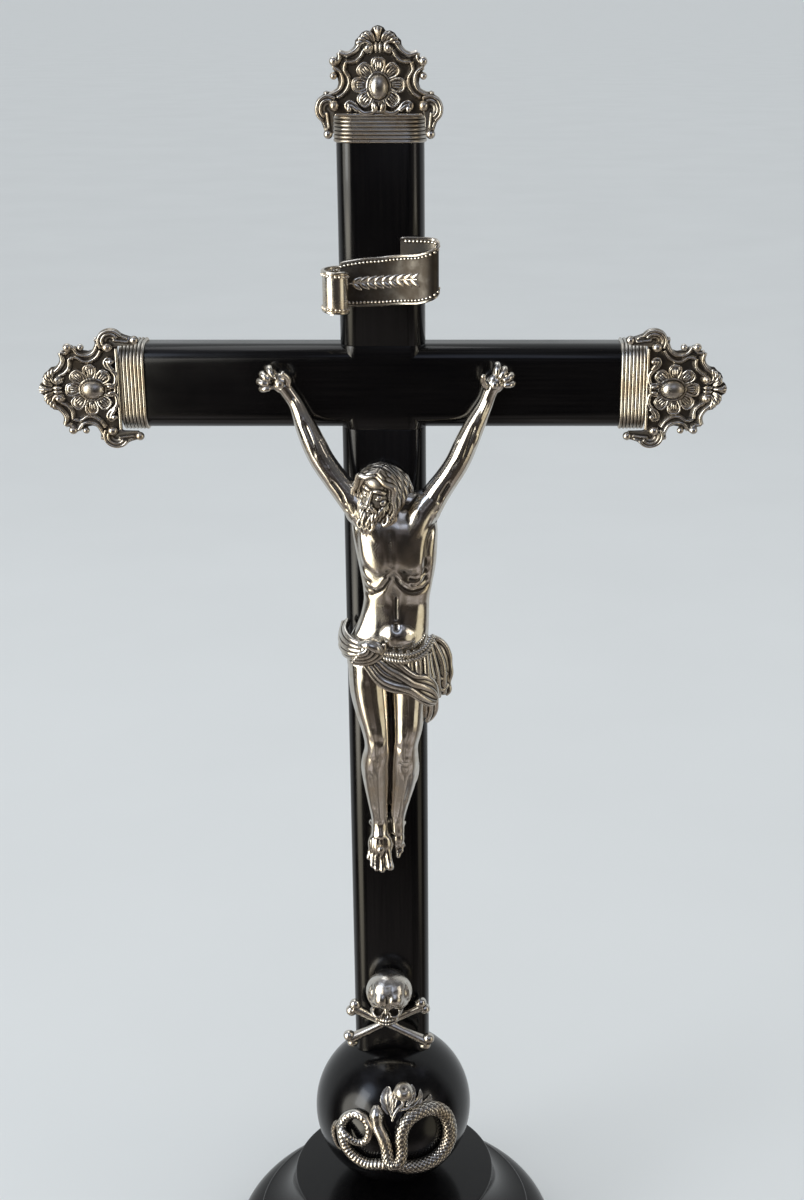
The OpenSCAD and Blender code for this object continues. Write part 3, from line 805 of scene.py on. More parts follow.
def capFoliage(s):
    # the swag above the band, the drops and the fan of the palmette
    parts = [ridge(capSwag, 1.1, -12.2, s, taper=0.7),
             ridge([(9.8, 2.4), (12.4, 4.4), (14.4, 4.9)], 0.9, -12.6, s),
             ball((13.9 * s, -12.7, 3.2), (1.3, 1.2, 1.5), steps=(16, 10)),
             ball((1.5 * s, -12.8, 4.1), (0.95, 1.2, 2.0), (0, 14 * s, 0), (16, 10)),
             ball((0.95 * s, -12.4, 30.4), (0.9, 1.5, 2.5), steps=(16, 12)),
             ball((4.8 * s, -12.0, 30.3), (1.5, 1.4, 1.6), steps=(18, 12))]
    for tip, root, radius in capFan:
        bent = ((tip[0] + root[0]) / 2 - 0.3, (tip[1] + root[1]) / 2 + 0.5)
        parts.append(rod([(root[0] * s, -11.2, root[1]), (bent[0] * s, -12.0, bent[1]),
                          (tip[0] * s, -11.6, tip[1])], [radius * 0.5, radius, radius], sides=3))
    return parts


def makeCartouche():
    c = capShape
    crown = curvePoints([(2.6, 0, 39.2), (0, 0, 40.2), (-2.6, 0, 39.2)], 3)
    half = capOutline[:-1]
    outline = half + [(p[0], p[2]) for p in crown] + [(-u, v) for u, v in reversed(half)]
    parts = [slab(outline, c["plateFront"], c["plateBack"])]
    for s in (-1, 1):
        parts += capEdge(s) + capCorner(s) + capFoliage(s)
    parts.append(rod([(0, -11.6, 33.0), (0, -12.6, 36.6), (0, -11.8, 39.6)], [0.4, 0.75, 0.7], sides=3))
    for k in range(c["petals"]):
        parts += petal(2 * pi * k / c["petals"], -11.9)
    parts.append(ball((0, -12.6, c["bossV"]), c["boss"], steps=(40, 28)))
    beading = [(5.3 * math.sin(a), -12.2, c["bossV"] + 6.5 * math.cos(a)) for a in np.arange(32) * pi / 16]
    parts.append(rod(beading, 0.42, sides=2, closed=True, smooth=False, caps=False))
    parts.append(ridge([(-20.5, 0.55), (20.5, 0.55)], 0.75, -11.9))
    return fused(parts, c["voxel"], 3, 0.4)


def makeBackPlate():
    half = [(u - 0.7 if u > 3 else u, max(v - 0.5, 0.4)) for u, v in capOutline]
    outline = half + [(0, 39.3)] + [(-u, v) for u, v in reversed(half)]
    return slab(outline, -8.2, -7.2, 0.3)


def darkenGround(obj):
    # the sunk ground of a cartouche is dark all over
    layer = obj.data.attributes["hollow"].data
    sunk = np.clip((coords(obj)[:, 1] - capShape["ground"]) / 0.5, 0, 1) * 0.7
    value = np.zeros(len(layer), dtype=np.float32)
    layer.foreach_get("value", value)
    layer.foreach_set("value", np.maximum(value, sunk).astype(np.float32))


def makeCaps():
    # each kind is modelled once at the top and copied to the arms
    # kind of piece, CAD node, maker, rounds for the hollows, material, slot, crease angle
    kinds = (("ferrule", "ferrule_", makeFerrule, (2, 8), capSilver, "aged_silver", 28),
             ("cartouche", "cartouche_", makeCartouche, (5, 24), capSilver, "aged_silver", 60),
             ("backPlate", "back_plate_", makeBackPlate, None, plainSilver, "plain_silver", 30))
    for kind, node, maker, rounds, material, slotName, crease in kinds:
        first = maker()
        if rounds:
            markHollows(first, rounds)
        if kind == "cartouche":
            darkenGround(first)
        for side, turn in (("top", 0), ("right", 90), ("left", -90)):
            only(first)
            bpy.ops.object.duplicate()
            piece = bpy.context.object
            piece.location = (0, 0, armLen)
            applyPlace(piece)
            piece.rotation_euler = (0, math.radians(turn), 0)
            piece.location = (0, 0, crossZ)
            settle(piece, kind + side.title(), material, "cross", [node + side], crease)
        bpy.data.objects.remove(first)


makeCaps()
print("caps made")


onWood = beamFront - 0.03    # the figure's back lies on the wood

torsoRows = [
    # height, middle, half width, depth of the middle, half depth
    (487, 4.2, 8, -15, 4), (484, 4.4, 15.5, -16, 5.5), (479, 4.8, 20, -18, 7.6),
    (473, 5.3, 21.6, -19.6, 9.5), (461, 6, 20.8, -20.2, 10.4), (450, 6.5, 19.3, -20.2, 10.1),
    (440, 6.3, 17.6, -19.8, 8.9), (432, 5.8, 16.9, -19.3, 8.4), (422, 4.5, 18, -19.3, 9.2),
    (412, 1.8, 20.2, -19.5, 9.9), (402, 0.5, 20.5, -19.5, 10), (394, 0.3, 19.5, -19.5, 9.4),
    (388, 0.3, 14, -19.5, 8),
]
legs = {
    # x, y, z and radius down each leg
    "left": [(-9.4, -20, 400, 10.4), (-8.8, -21, 385, 10.2), (-7.3, -22.5, 374, 9.3),
             (-5.4, -24.2, 363, 7.8), (-4.7, -24.6, 353, 6.9), (-6.2, -21.5, 341, 7.7),
             (-5.9, -19.2, 330, 7.1), (-5.3, -17.4, 316, 5.5), (-4.5, -16, 304, 4.7),
             (-4.4, -17.5, 296, 5.3)],
    "right": [(11.2, -20, 400, 10.4), (11.5, -21, 385, 9.8), (11.3, -22.3, 373, 8.8),
              (10.9, -23.6, 363, 8.0), (9.6, -23.6, 353, 6.9), (9.3, -21, 341, 7.4), (8.4, -18.4, 330, 6.9),
              (6.3, -16, 316, 5.3), (4.9, -14.8, 305, 4.2), (4.8, -14.8, 297, 4.0)],
}
muscles = [
    # lines on the front (x, z), width, depth
    ([(-13, 455), (-7.2, 450), (-3.5, 448), (0.2, 449.6), (2.8, 452.6)], 1.5, -0.8),
    ([(7.2, 452.6), (12.4, 449.6), (17.2, 449.8), (21, 453.2), (22.6, 458)], 1.5, -0.8),
    ([(3.1, 473), (3.2, 467), (3.4, 459), (4.2, 450)], 1.7, -0.45),
    ([(4.2, 449.6), (1.2, 444.7), (-0.9, 441.2), (-4.8, 438.4), (-8.6, 436.6)], 1.1, -0.9),
    ([(5.2, 449.6), (7.6, 444.2), (11.8, 440.6), (16.4, 439.6), (20.9, 441.6)], 1.1, -0.9),
    ([(2.0, 447.6), (-1.6, 443.4), (-6, 440.8)], 1.3, 0.6),
    ([(8, 446.6), (12.2, 443.2), (17, 442.4)], 1.3, 0.6),
    ([(4.6, 445), (4.9, 439)], 2.4, -0.9),
    ([(-13.6, 450.9), (-10.4, 446), (-6.6, 444.2)], 0.9, -0.7),
    ([(-12.4, 445.6), (-9, 441), (-4, 440)], 0.9, -0.6),
    ([(-12.6, 441), (-9.4, 437.6)], 0.9, -0.6), ([(11.9, 447), (17.2, 446.4), (22.5, 451.5)], 0.9, -0.8),
    ([(12.4, 443.6), (17.7, 443), (22.8, 448)], 0.9, -0.8),
    ([(15, 440.2), (20, 440.4), (23.2, 444)], 0.8, -0.6),
    ([(5.9, 437), (5.8, 430), (5.9, 424)], 0.75, -0.75), ([(5.9, 421.4), (5.95, 420.4)], 0.95, -1.5),
    ([(-2.6, 434), (-2.2, 424), (0, 414)], 2.2, -0.3), ([(13.6, 434), (13.2, 424), (11.6, 414)], 2.2, -0.3),
    ([(5.6, 416), (5.8, 411)], 6.5, 1.0),
    ([(-10.6, 434), (-9, 425), (-8.2, 417)], 2.2, -0.35),
    ([(20.4, 434), (19.5, 425), (19, 417)], 2.2, -0.35),
    ([(26, 474), (22.6, 466.8), (21.4, 458), (21.6, 450), (20.8, 441)], 1.4, -1.3),
    ([(-12.2, 478), (-13.6, 470), (-13.4, 461), (-12.6, 452)], 1.2, -1.0),
    ([(-8, 481.4), (-2, 479.6), (2.4, 480)], 1.1, 0.5), ([(7, 480), (13, 480.6), (19, 483)], 1.1, 0.5),
    ([(6.4, 476.6), (12, 477), (18, 479)], 1.4, -0.3),
    ([(-10.4, 392), (-8.4, 378), (-5.6, 362)], 1.4, -0.35),
    ([(9, 384), (9.6, 372), (9.4, 360)], 1.4, -0.35),
    ([(-8.6, 357.5), (-4.6, 358.6), (-1.2, 356.6)], 1.6, -0.4),
    ([(5.8, 352.6), (9.4, 354), (13, 352.2)], 1.6, -0.4),
    ([(-7.9, 349), (-4.9, 345.4), (-1.6, 348)], 1.3, -0.35),
    ([(6.6, 345), (9.8, 341.6), (12.9, 344)], 1.3, -0.35),
    ([(-4.4, 341), (-4.9, 328), (-4.6, 314), (-4.2, 306)], 0.9, 0.7),
    ([(9.8, 338), (8.6, 326), (6.6, 314), (5.3, 306)], 0.9, 0.7),
    ([(-8.8, 338), (-8.6, 326), (-6.8, 314)], 1.2, -0.5), ([(13, 338), (12, 328), (9, 317)], 1.2, -0.5),
    ([(-4.6, 301), (-3.4, 297.6)], 1.3, 0.5), ([(2.4, 392), (2.7, 378), (2.7, 364), (2.6, 350)], 1.0, -1.1),
    ([(-9.4, 296), (-9.7, 287.6)], 0.6, -0.4), ([(-7.7, 296), (-7.6, 287)], 0.6, -0.45),
    ([(-5.2, 296), (-5.1, 286.5)], 0.6, -0.45), ([(-2.2, 296.5), (-1.9, 287)], 0.65, -0.5),
]
toes = [
    # start, end, radius: five on the front foot, three on the one behind
    ((-10.0, -18.6, 288), (-10.9, -19.6, 284.2), 1.3), ((-8.2, -19.6, 287.5), (-8.9, -21.0, 280.4), 1.4),
    ((-6.2, -20.2, 287), (-6.6, -21.8, 278.5), 1.45), ((-3.7, -20.4, 287), (-3.3, -22.2, 277.9), 1.55),
    ((-0.6, -20.0, 288.5), (0.9, -22.0, 279.9), 2.15), ((4.5, -15.4, 290), (5.2, -17.0, 283.8), 1.4),
    ((6.2, -15.0, 291), (6.9, -16.2, 286.3), 1.25), ((7.5, -14.4, 293), (8.0, -15.2, 289.2), 1.1),
]


def section(z, cx, halfWide, cy, halfDeep, power=2.25, steps=48):
    row = []
    for k in range(steps):
        c, s = math.cos(2 * pi * k / steps), math.sin(2 * pi * k / steps)
        row.append((cx + halfWide * math.copysign(abs(c) ** (2 / power), c),
                    cy + halfDeep * math.copysign(abs(s) ** (2 / power), s), z))
    return row


def layOnWood(obj):
    co = coords(obj)
    co[:, 1] = np.minimum(co[:, 1], onWood)
    return setCoords(obj, co)


bodyRods = [
    # points and radii: the neck, the chest towards each shoulder, and the nape each way
    ([(4.6, -18.5, 478), (3.6, -19.5, 484), (1.6, -21.5, 490)], [7.4, 6.4, 5.8]),
    ([(0, -22.6, 462), (-5, -21.6, 472), (-11, -19.6, 481), (-17, -18.8, 487)], [7.4, 7.6, 7.2, 6.6]),
    ([(11, -22.6, 462), (15.5, -21.6, 472), (20.5, -19.8, 481), (25.5, -18.8, 487)], [7.4, 7.6, 7.2, 6.6]),
    ([(3, -17.4, 487), (10, -16.6, 484.5), (17, -16.6, 484), (23, -17.4, 486)], [6, 5.6, 5.4, 5.8]),
    ([(2, -17.4, 487), (-5, -16.6, 484.5), (-12, -17.2, 485)], [6, 5.6, 5.6]),
]
bodyBalls = [
    # middle and half sizes
    ((-12.2, -18.6, 480), (7.6, 7.8, 8)), ((21.4, -18.6, 480.5), (7.6, 7.8, 8)),      # shoulders
    ((5.6, -21.6, 415), (12.5, 9.6, 10)),                                           # belly
    ((-4.8, -25.6, 351), (4.9, 5.2, 7)), ((9.7, -25, 347.5), (4.9, 5.0, 7)),         # knees
    ((-8.8, -19, 338), (5, 6.6, 12)), ((12.2, -18.4, 338), (4.8, 6.2, 12)),          # calves
    ((-9.2, -15.6, 303.4), (1.5, 1.8, 2)), ((0.3, -15.8, 304.6), (1.5, 1.8, 2)),     # ankles
    ((8.4, -14.4, 302.6), (1.3, 1.6, 1.8)),
    ((-4.3, -18.2, 291.6), (7.0, 4.6, 8.4)), ((5.2, -14.8, 294), (3.6, 3.9, 6.5)),   # feet
]
bodyFinish = {"voxel": 0.5, "softening": 11, "lineWidth": 1.35, "lineDepth": 0.65}


def makeBody():
    rows = [section(*r) for r in curvePoints(torsoRows, 4)]
    top, low = torsoRows[0], torsoRows[-1]
    parts = [loft([section(top[0], top[1], 0, top[3], 0)] + rows + [section(low[0], low[1], 0, low[3], 0)])]
    for way in legs.values():
        line = curvePoints(way, 4)
        parts.append(rod(line[:, :3], list(line[:, 3]), 8, smooth=False))
    parts += [rod(points, radii, 8) for points, radii in bodyRods]
    parts += [ball(at, size) for at, size in bodyBalls]
    for start, end, r in toes:
        half = [(a + b) / 2 for a, b in zip(start, end)]
        parts.append(rod([start, half, end], [r, r * 0.88, r * 1.02], 5))
        parts.append(ball(end, (r * 1.05, r * 1.15, r * 1.25), steps=(14, 10)))
    f = bodyFinish
    obj = fused(parts, f["voxel"], f["softening"], 0.6)
    carve(obj, [(points, wide * f["lineWidth"], deep * f["lineDepth"]) for points, wide, deep in muscles])
    layOnWood(soften(obj, 2, 0.4))
    markHollows(obj, (5, 40))
    return settle(obj, "corpusBody", corpusSilver, "cross", ["corpus_body"], 180)


arms = {
    "left": {
        "way": [(-5, -19.4, 468, 7.6), (-10.5, -19.2, 478, 7.4), (-17.5, -18.6, 487.5, 6.9),
                (-24, -18, 496, 6.3), (-30.4, -17, 505.4, 6.2), (-34.6, -16, 514, 6.1),
                (-38.6, -15, 523, 5.2), (-42.7, -14.2, 533, 3.9), (-46.4, -14.4, 539, 3.8),
                (-48.8, -14.6, 542.6, 3.9)],
        "muscles": [((-17, -21, 486), (5.4, 4.6, 9), 36), ((-26.6, -20.2, 501), (3.6, 3.4, 8), 32),
                    ((-36.6, -17.4, 514.5), (3.6, 3.6, 8.5), 25), ((-31.4, -17, 514), (3.2, 3.6, 7.5), 24)],
        "palm": (-49.6, -14.6, 543.6), "lean": -47,
        "fingers": [(-55.0, 551.6), (-58.4, 548.8), (-59.9, 545.2), (-58.8, 541.6)],
        "thumb": [(-46.4, -15.6, 542.4, 1.9), (-45.9, -18.0, 546.6, 1.6), (-48.2, -20.0, 549.8, 1.25)],
        "lines": [([(-24.6, -22, 497), (-28.4, -22, 504), (-31.4, -21, 509)], 1.0, -0.8),
                  ([(-33, -21.5, 508), (-35, -21, 516), (-38.6, -19.6, 525)], 1.0, -0.8),
                  ([(-18, -25, 481), (-21, -24.6, 490), (-26, -23.6, 497)], 1.1, -0.7),
                  ([(-40.4, -18.4, 528), (-43.8, -17.4, 536)], 0.7, 0.5)],
    },
    "right": {
        "way": [(14, -19.4, 468, 7.6), (20, -19.2, 478, 7.4), (26, -18.6, 488, 6.8), (31.6, -18, 496, 6.2),
                (37, -17, 504.4, 6.1), (40.9, -16, 513, 6.0), (45.6, -15, 523, 5.1),
                (50.6, -14.2, 532.6, 3.9), (52.8, -14.4, 538.5, 3.8), (54.6, -14.6, 542.4, 3.9)],
        "muscles": [((25.4, -21, 486), (5.4, 4.6, 9), -33), ((34.4, -20.2, 500.5), (3.6, 3.4, 8), -32),
                    ((43.6, -17.4, 514.5), (3.6, 3.6, 8.5), -26),
                    ((38.2, -17, 513.5), (3.2, 3.6, 7.5), -24)],
        "palm": (55.4, -14.6, 543.6), "lean": 42,
        "fingers": [(56.4, 553.2), (60.0, 551.2), (63.2, 548.2), (63.8, 544.2)],
        "thumb": [(52.4, -15.6, 541.6, 1.9), (49.6, -17.8, 544.4, 1.6), (49.4, -19.8, 548.2, 1.25)],
        "lines": [([(32, -22, 496), (35, -22, 503), (38, -21, 508)], 1.0, -0.8),
                  ([(39.6, -21.5, 507), (42.2, -21, 515), (45.6, -19.6, 524)], 1.0, -0.8),
                  ([(26, -25, 481), (29, -24.6, 489), (33, -23.6, 496)], 1.1, -0.7),
                  ([(48, -18.4, 527), (51.4, -17.4, 535)], 0.7, 0.5)],
    },
}


def handParts(a):
    # palm, four fingers half closed over it, and the thumb
    palm = np.array(a["palm"])
    parts = [ball(a["palm"], (4.9, 3.6, 5.8), (0, a["lean"], 0))]
    for x, z in a["fingers"]:
        out = np.array([x - palm[0], 0, z - palm[2]])
        out /= np.linalg.norm(out)
        tip = np.array([x, -17.4, z])
        root = palm + out * 3.6
        end = tip - out * 3.4 - [0, 3.0, 0]
        parts.append(rod([root, (root + tip) / 2 + [0, 0.9, 0], tip, tip - out * 1.5 - [0, 2.4, 0], end],
                         [2.0, 1.9, 1.85, 1.6, 1.3], 5))
        parts += [ball(tip, 1.95, steps=(12, 8)), ball(end, 1.35, steps=(12, 8))]
    parts.append(rod([p[:3] for p in a["thumb"]], [p[3] for p in a["thumb"]], 5))
    parts.append(ball(a["thumb"][-1][:3], 1.3, steps=(12, 8)))
    parts.append(ball(a["thumb"][0][:3], (2.2, 2.2, 2.6), steps=(14, 10)))
    return parts


def makeArm(side):
    a = arms[side]
    line = curvePoints(a["way"], 4)
    parts = [rod(line[:, :3], list(line[:, 3]), 7, smooth=False)]
    parts += [ball(at, size, (0, -lean, 0)) for at, size, lean in a["muscles"]]
    obj = fused(parts + handParts(a), 0.3, 5, 0.5)
    carve(obj, a["lines"])
    layOnWood(soften(obj, 2, 0.4))
    markHollows(obj, (5, 40))
    node = "corpus_arm_" + side
    return settle(obj, "arm" + side.title(), corpusSilver, "cross", [node], 180)


makeBody()
makeArm("left")
makeArm("right")
print("figure made")


clothShape = {"voxel": 0.32, "folds": (0, 0.21, 0.43, 0.65, 0.84, 1)}
clothLow = [(-14.5, 405), (-12.7, 402.8), (-9.5, 398.7), (-4.2, 392.3), (1.1, 388.8), (7.6, 386.4),
            (11.9, 385.3), (17.3, 381.1), (21.7, 378.2), (25.4, 377.4)]
clothHigh = [(-6, 407.4), (-2, 407.6), (0.8, 406.9), (4.5, 403.4), (8.8, 400.5), (12, 397.6), (15.2, 394.7),
             (21.2, 392.3), (25.3, 387.6), (26.8, 380.4)]

clothLeft = [
    # folds that come round the left hip into the knot
    [(-19.6, -12.6, 418.6), (-20.6, -20, 416), (-17, -27, 413.6), (-12, -31, 412.6)],
    [(-21.6, -12.4, 417.6), (-22.2, -19, 413.6), (-18, -27, 411.2), (-12, -32, 410.8)],
    [(-23, -12.4, 412.6), (-22.6, -20, 410), (-18, -28, 408.8), (-12, -32, 409)],
    [(-23.2, -12.4, 407.4), (-22.4, -20, 406.4), (-18, -28, 406.4), (-12.4, -31, 407)],
    [(-21.6, -12.4, 402), (-20.8, -20, 402.8), (-17, -27, 404), (-12.6, -30, 405.4)],
]
clothHang = [
    # line and radius: the end that falls at the right, and the fold below it
    ([(23.4, -16, 411), (29.2, -14.6, 407.2), (32.7, -14, 400.4), (33.2, -14, 394.5), (33.6, -14.2, 389.6),
      (32.3, -14.4, 384.6), (32.6, -14.4, 379.8), (30.6, -15, 378)], 1.5),
    ([(23.2, -18.4, 410.4), (27, -18, 403.4), (29.4, -17.6, 396), (29.8, -17.6, 388), (29.8, -17, 379.4)],
     1.7),
    ([(22.8, -20.6, 408), (24.8, -20.8, 400), (26.4, -20.4, 392), (27, -19.6, 384), (27.2, -18.6, 378)],
     1.6),
    ([(22.2, -22, 404), (23, -23, 397), (24.4, -23, 390)], 1.6),
    ([(31.6, -16.6, 391), (29, -18.6, 388.6), (26.6, -20, 390.6)], 1.1),
    ([(32.2, -16.2, 384.4), (29.6, -18.2, 382), (27, -20, 383.8)], 1.1),
    ([(25.6, -22, 386), (26.0, -21.2, 376), (25.5, -20.4, 370.8), (23.2, -19.6, 366.6),
      (20.7, -19, 364.4)], 1.4),
    ([(22.6, -24, 384), (23.4, -22.6, 375), (22.8, -21.6, 369.6), (21.2, -20.4, 365.6)], 1.3),
    ([(19.6, -24.4, 381), (20.6, -22.6, 374), (20.6, -21, 367.6)], 1.0),
]


def hipFront(x, out=0.0):
    return -19.5 - (11.6 + out) * math.sqrt(max(0.02, 1 - ((x - 0.5) / 27.5) ** 2))


def makeCloth():
    parts = []
    low, high = np.array(clothLow), np.array(clothHigh)
    for k, t in enumerate(clothShape["folds"]):      # the swath from the knot down to the right
        mid = low * (1 - t) + high * t
        mid[:, 1] += 0.5 * np.sin(np.arange(len(mid)) * 1.3 + k)
        fat = [0.9, 1.1, 1.5, 1.9, 2.2, 2.3, 2.3, 2.1, 1.8, 1.5]
        lift = 1.2 if k % 2 else 0.1
        edge = 0.74 if t in (0, 1) else 1
        parts.append(rod([(x, hipFront(x, lift), z) for x, z in mid], [f * edge for f in fat], 5))
    for k, x in enumerate((4, 8, 12.2, 16.4, 20.6)):      # pleats under the rope
        lowZ = np.interp(x, high[:, 0], high[:, 1])
        parts.append(rod([(x, hipFront(x, -1.0), 407.5), (x + 0.5, hipFront(x, -0.2), (407 + lowZ) / 2),
                          (x + 0.9, hipFront(x, -0.6), lowZ - 1)], [1.3, 1.9 + 0.3 * (k % 2), 2.1], 5))
    for way in clothLeft:
        parts.append(rod(way, [1.7, 1.75, 1.6, 1.1], 5))
    for k, size in enumerate((0.3, 0.52, 0.76, 1.0)):      # the knot: folds one round the other
        arcLine = [(-12.4 + 12.2 * size * math.cos(a), -37.2 + 5.0 * size ** 2,
                    412.2 + 9.6 * size * math.sin(a))
                   for a in np.radians(np.linspace(-112, 4, 8))]
        parts.append(rod(arcLine, [1.2, 1.5, 1.65, 1.7, 1.7, 1.6, 1.5, 1.2], 5))
    parts.append(rod([(-13.4, -32.5, 412.8), (-8.6, -35.4, 413.6), (-4.4, -35.4, 412), (-1.4, -33, 409)],
                     [1.5, 2.5, 2.6, 1.8], 6))
    parts.append(ball((-7.6, -29.5, 408), (7, 4.4, 5.6)))
    for way, r in clothHang:
        parts.append(rod(way, r, 5))
    parts += [ball((27.6, -14, 397), (5.2, 3.4, 13), (0, -12, 0)), ball((29.4, -14, 386), (4.2, 3.2, 9)),
              ball((22.6, -17, 374), (3.4, 4.4, 9), (0, 4, 0))]
    obj = fused(parts, clothShape["voxel"], 2, 0.4)
    layOnWood(obj)
    markHollows(obj, (4, 26))
    return settle(obj, "loincloth_folds", clothSilver, "cross", ["loincloth"], 180)


ropeShape = {"strand": 0.78, "offset": 0.62, "pitch": 3.0, "step": 0.22}
ropeWays = [
    [(-1.6, -31.8, 408), (2.4, -32.5, 407.5), (8.9, -32.8, 406.9), (15.3, -31.4, 407.4), (20.7, -28, 409.9),
     (23.7, -23.4, 414)],
    [(-0.6, -32.4, 405.4), (3.4, -33.2, 404.6), (8.9, -33.4, 403.8), (13.4, -32.8, 404.2),
     (18.5, -30.6, 405.4), (22.7, -26.4, 409.6), (24.5, -22.4, 413.6)],
]


def makeRope():
    parts = []
    for way in ropeWays:
        line = curvePoints(way, 24)
        gone = np.concatenate([[0], np.cumsum(np.linalg.norm(np.diff(line, axis=0), axis=1))])
        at = np.arange(0, gone[-1], ropeShape["step"])
        core = np.stack([np.interp(at, gone, line[:, i]) for i in range(3)], axis=1)
        ahead = np.gradient(core, axis=0)
        ahead /= np.linalg.norm(ahead, axis=1)[:, None]
        side = np.cross(ahead, [0, 1, 0])
        side /= np.linalg.norm(side, axis=1)[:, None]
        other = np.cross(ahead, side)
        for phase in (0, pi):
            turn = (2 * pi * at / ropeShape["pitch"] + phase)[:, None]
            strand = core + ropeShape["offset"] * (np.cos(turn) * side + np.sin(turn) * other)
            parts.append(rod(strand, ropeShape["strand"], 3, smooth=False))
    obj = fused(parts, 0.2, 1, 0.4)
    markHollows(obj, (3, 12))
    return settle(obj, "waistRope", clothSilver, "cross", ["waist_rope"], 180)


def nailShape(x, z, headY, endY, headR):
    # a wrought nail: a squared shank and a low head struck to facets
    shank = rod([(x, headY + 0.6, z), (x, endY, z)], 0.88, 5, smooth=False)
    head = ball((x, headY + 0.2, z), (headR, 1.05, headR), steps=(9, 6))
    rim = ball((x + 0.15, headY + 0.75, z - 0.1), (headR * 1.12, 0.55, headR * 1.06), steps=(10, 6))
    return fused([shank, head, rim], 0.17, 1, 0.3)


def makeNails():
    hands = joined([nailShape(-50, 544, -20.4, beamFront + 6.4, 1.9),
                    nailShape(55, 544, -20.4, beamFront + 6.4, 1.9)])
    markHollows(hands, (3, 10))
    settle(hands, "handNails", corpusSilver, "cross", ["hand_nails"], 50)
    foot = nailShape(-4, 291, -24.6, beamFront + 7.4, 2.0)
    markHollows(foot, (3, 10))
    settle(foot, "footNail", corpusSilver, "cross", ["foot_nail"], 50)


makeCloth()
makeRope()
makeNails()
print("cloth made")


# modelled upright about its own middle, facing the front, then bowed and turned

headShape = {"place": (-1.8, -23.8, 491.8), "bow": 8, "turn": -22, "tilt": 13, "scale": 0.98, "voxel": 0.27}


def wavy(points, swing, waves, phase, steps=9):
    # a lock of hair: a smooth line that sways to and fro
    line = curvePoints(points, steps)
    t = np.linspace(0, 1, len(line))
    ahead = np.gradient(line, axis=0)
    side = np.cross(ahead, [0, 1, 0.25])
    side /= np.linalg.norm(side, axis=1)[:, None] + 1e-9
    sway = swing * np.sin(2 * pi * waves * t + phase) * np.sin(pi * np.clip(t * 1.6, 0, 1) / 2)
    return line + side * sway[:, None]


def lock(points, radius, swing=0.5, waves=2, phase=0.0, tip=0.35):
    line = wavy(points, swing, waves, phase)
    t = np.linspace(0, 1, len(line))
    return rod(line, list(radius * (0.75 + 0.45 * np.sin(pi * t) - (0.75 - tip) * t ** 3)), 3, smooth=False)


def faceParts():
    parts = [
        ball((0, 1.4, 3.2), (9.6, 11.4, 10.4)), ball((0, -3.2, -1.2), (7.7, 7.3, 11.2)),
        ball((0, -3.6, -7.2), (6.3, 6.0, 6.2)), ball((0, -8.4, -11.2), (2.5, 2.2, 2.2)),
        rod([(-6.3, -7.2, 2.4), (-3.6, -9.6, 3.5), (-0.9, -10.3, 2.9)], [0.9, 1.1, 0.8], 5),
        rod([(6.3, -7.2, 2.4), (3.6, -9.6, 3.5), (0.9, -10.3, 2.9)], [0.9, 1.1, 0.8], 5),
        ball((0, -7.6, 6), (5.4, 3, 3.4)),
        rod([(0, -9.9, 2.8), (0, -11.2, 0.2), (0, -12.6, -2.6), (0, -12.9, -3.9)], [0.85, 0.9, 1.15, 1.2],
            6),
        rod([(-2.4, -9.2, -6.9), (-0.9, -10.7, -6.6), (0, -10.9, -6.8), (0.9, -10.7, -6.6),
             (2.4, -9.2, -6.9)],
            [0.35, 0.62, 0.55, 0.62, 0.35], 4),
        rod([(-2.0, -9.3, -7.9), (0, -10.7, -8.2), (2.0, -9.3, -7.9)], [0.35, 0.7, 0.35], 4),
        rod([(0.6, -3, -9), (1.2, 2, -16), (2.5, 4, -20)], [5.6, 5.2, 5.4], 8),
    ]
    for s in (-1, 1):
        parts += [
            ball((1.25 * s, -11.3, -4.1), (0.95, 1.2, 0.85), steps=(14, 10)),
            ball((3.5 * s, -8.2, 0.1), (2.2, 1.7, 1.6), steps=(18, 12)),
            rod([(1.6 * s, -9.0, -0.5), (3.5 * s, -9.9, -0.9), (5.5 * s, -8.3, -0.5)], [0.2, 0.38, 0.2], 3),
            ball((5.2 * s, -6.6, -2.6), (2.4, 2.3, 2.1), steps=(18, 12)),
        ]
    return parts


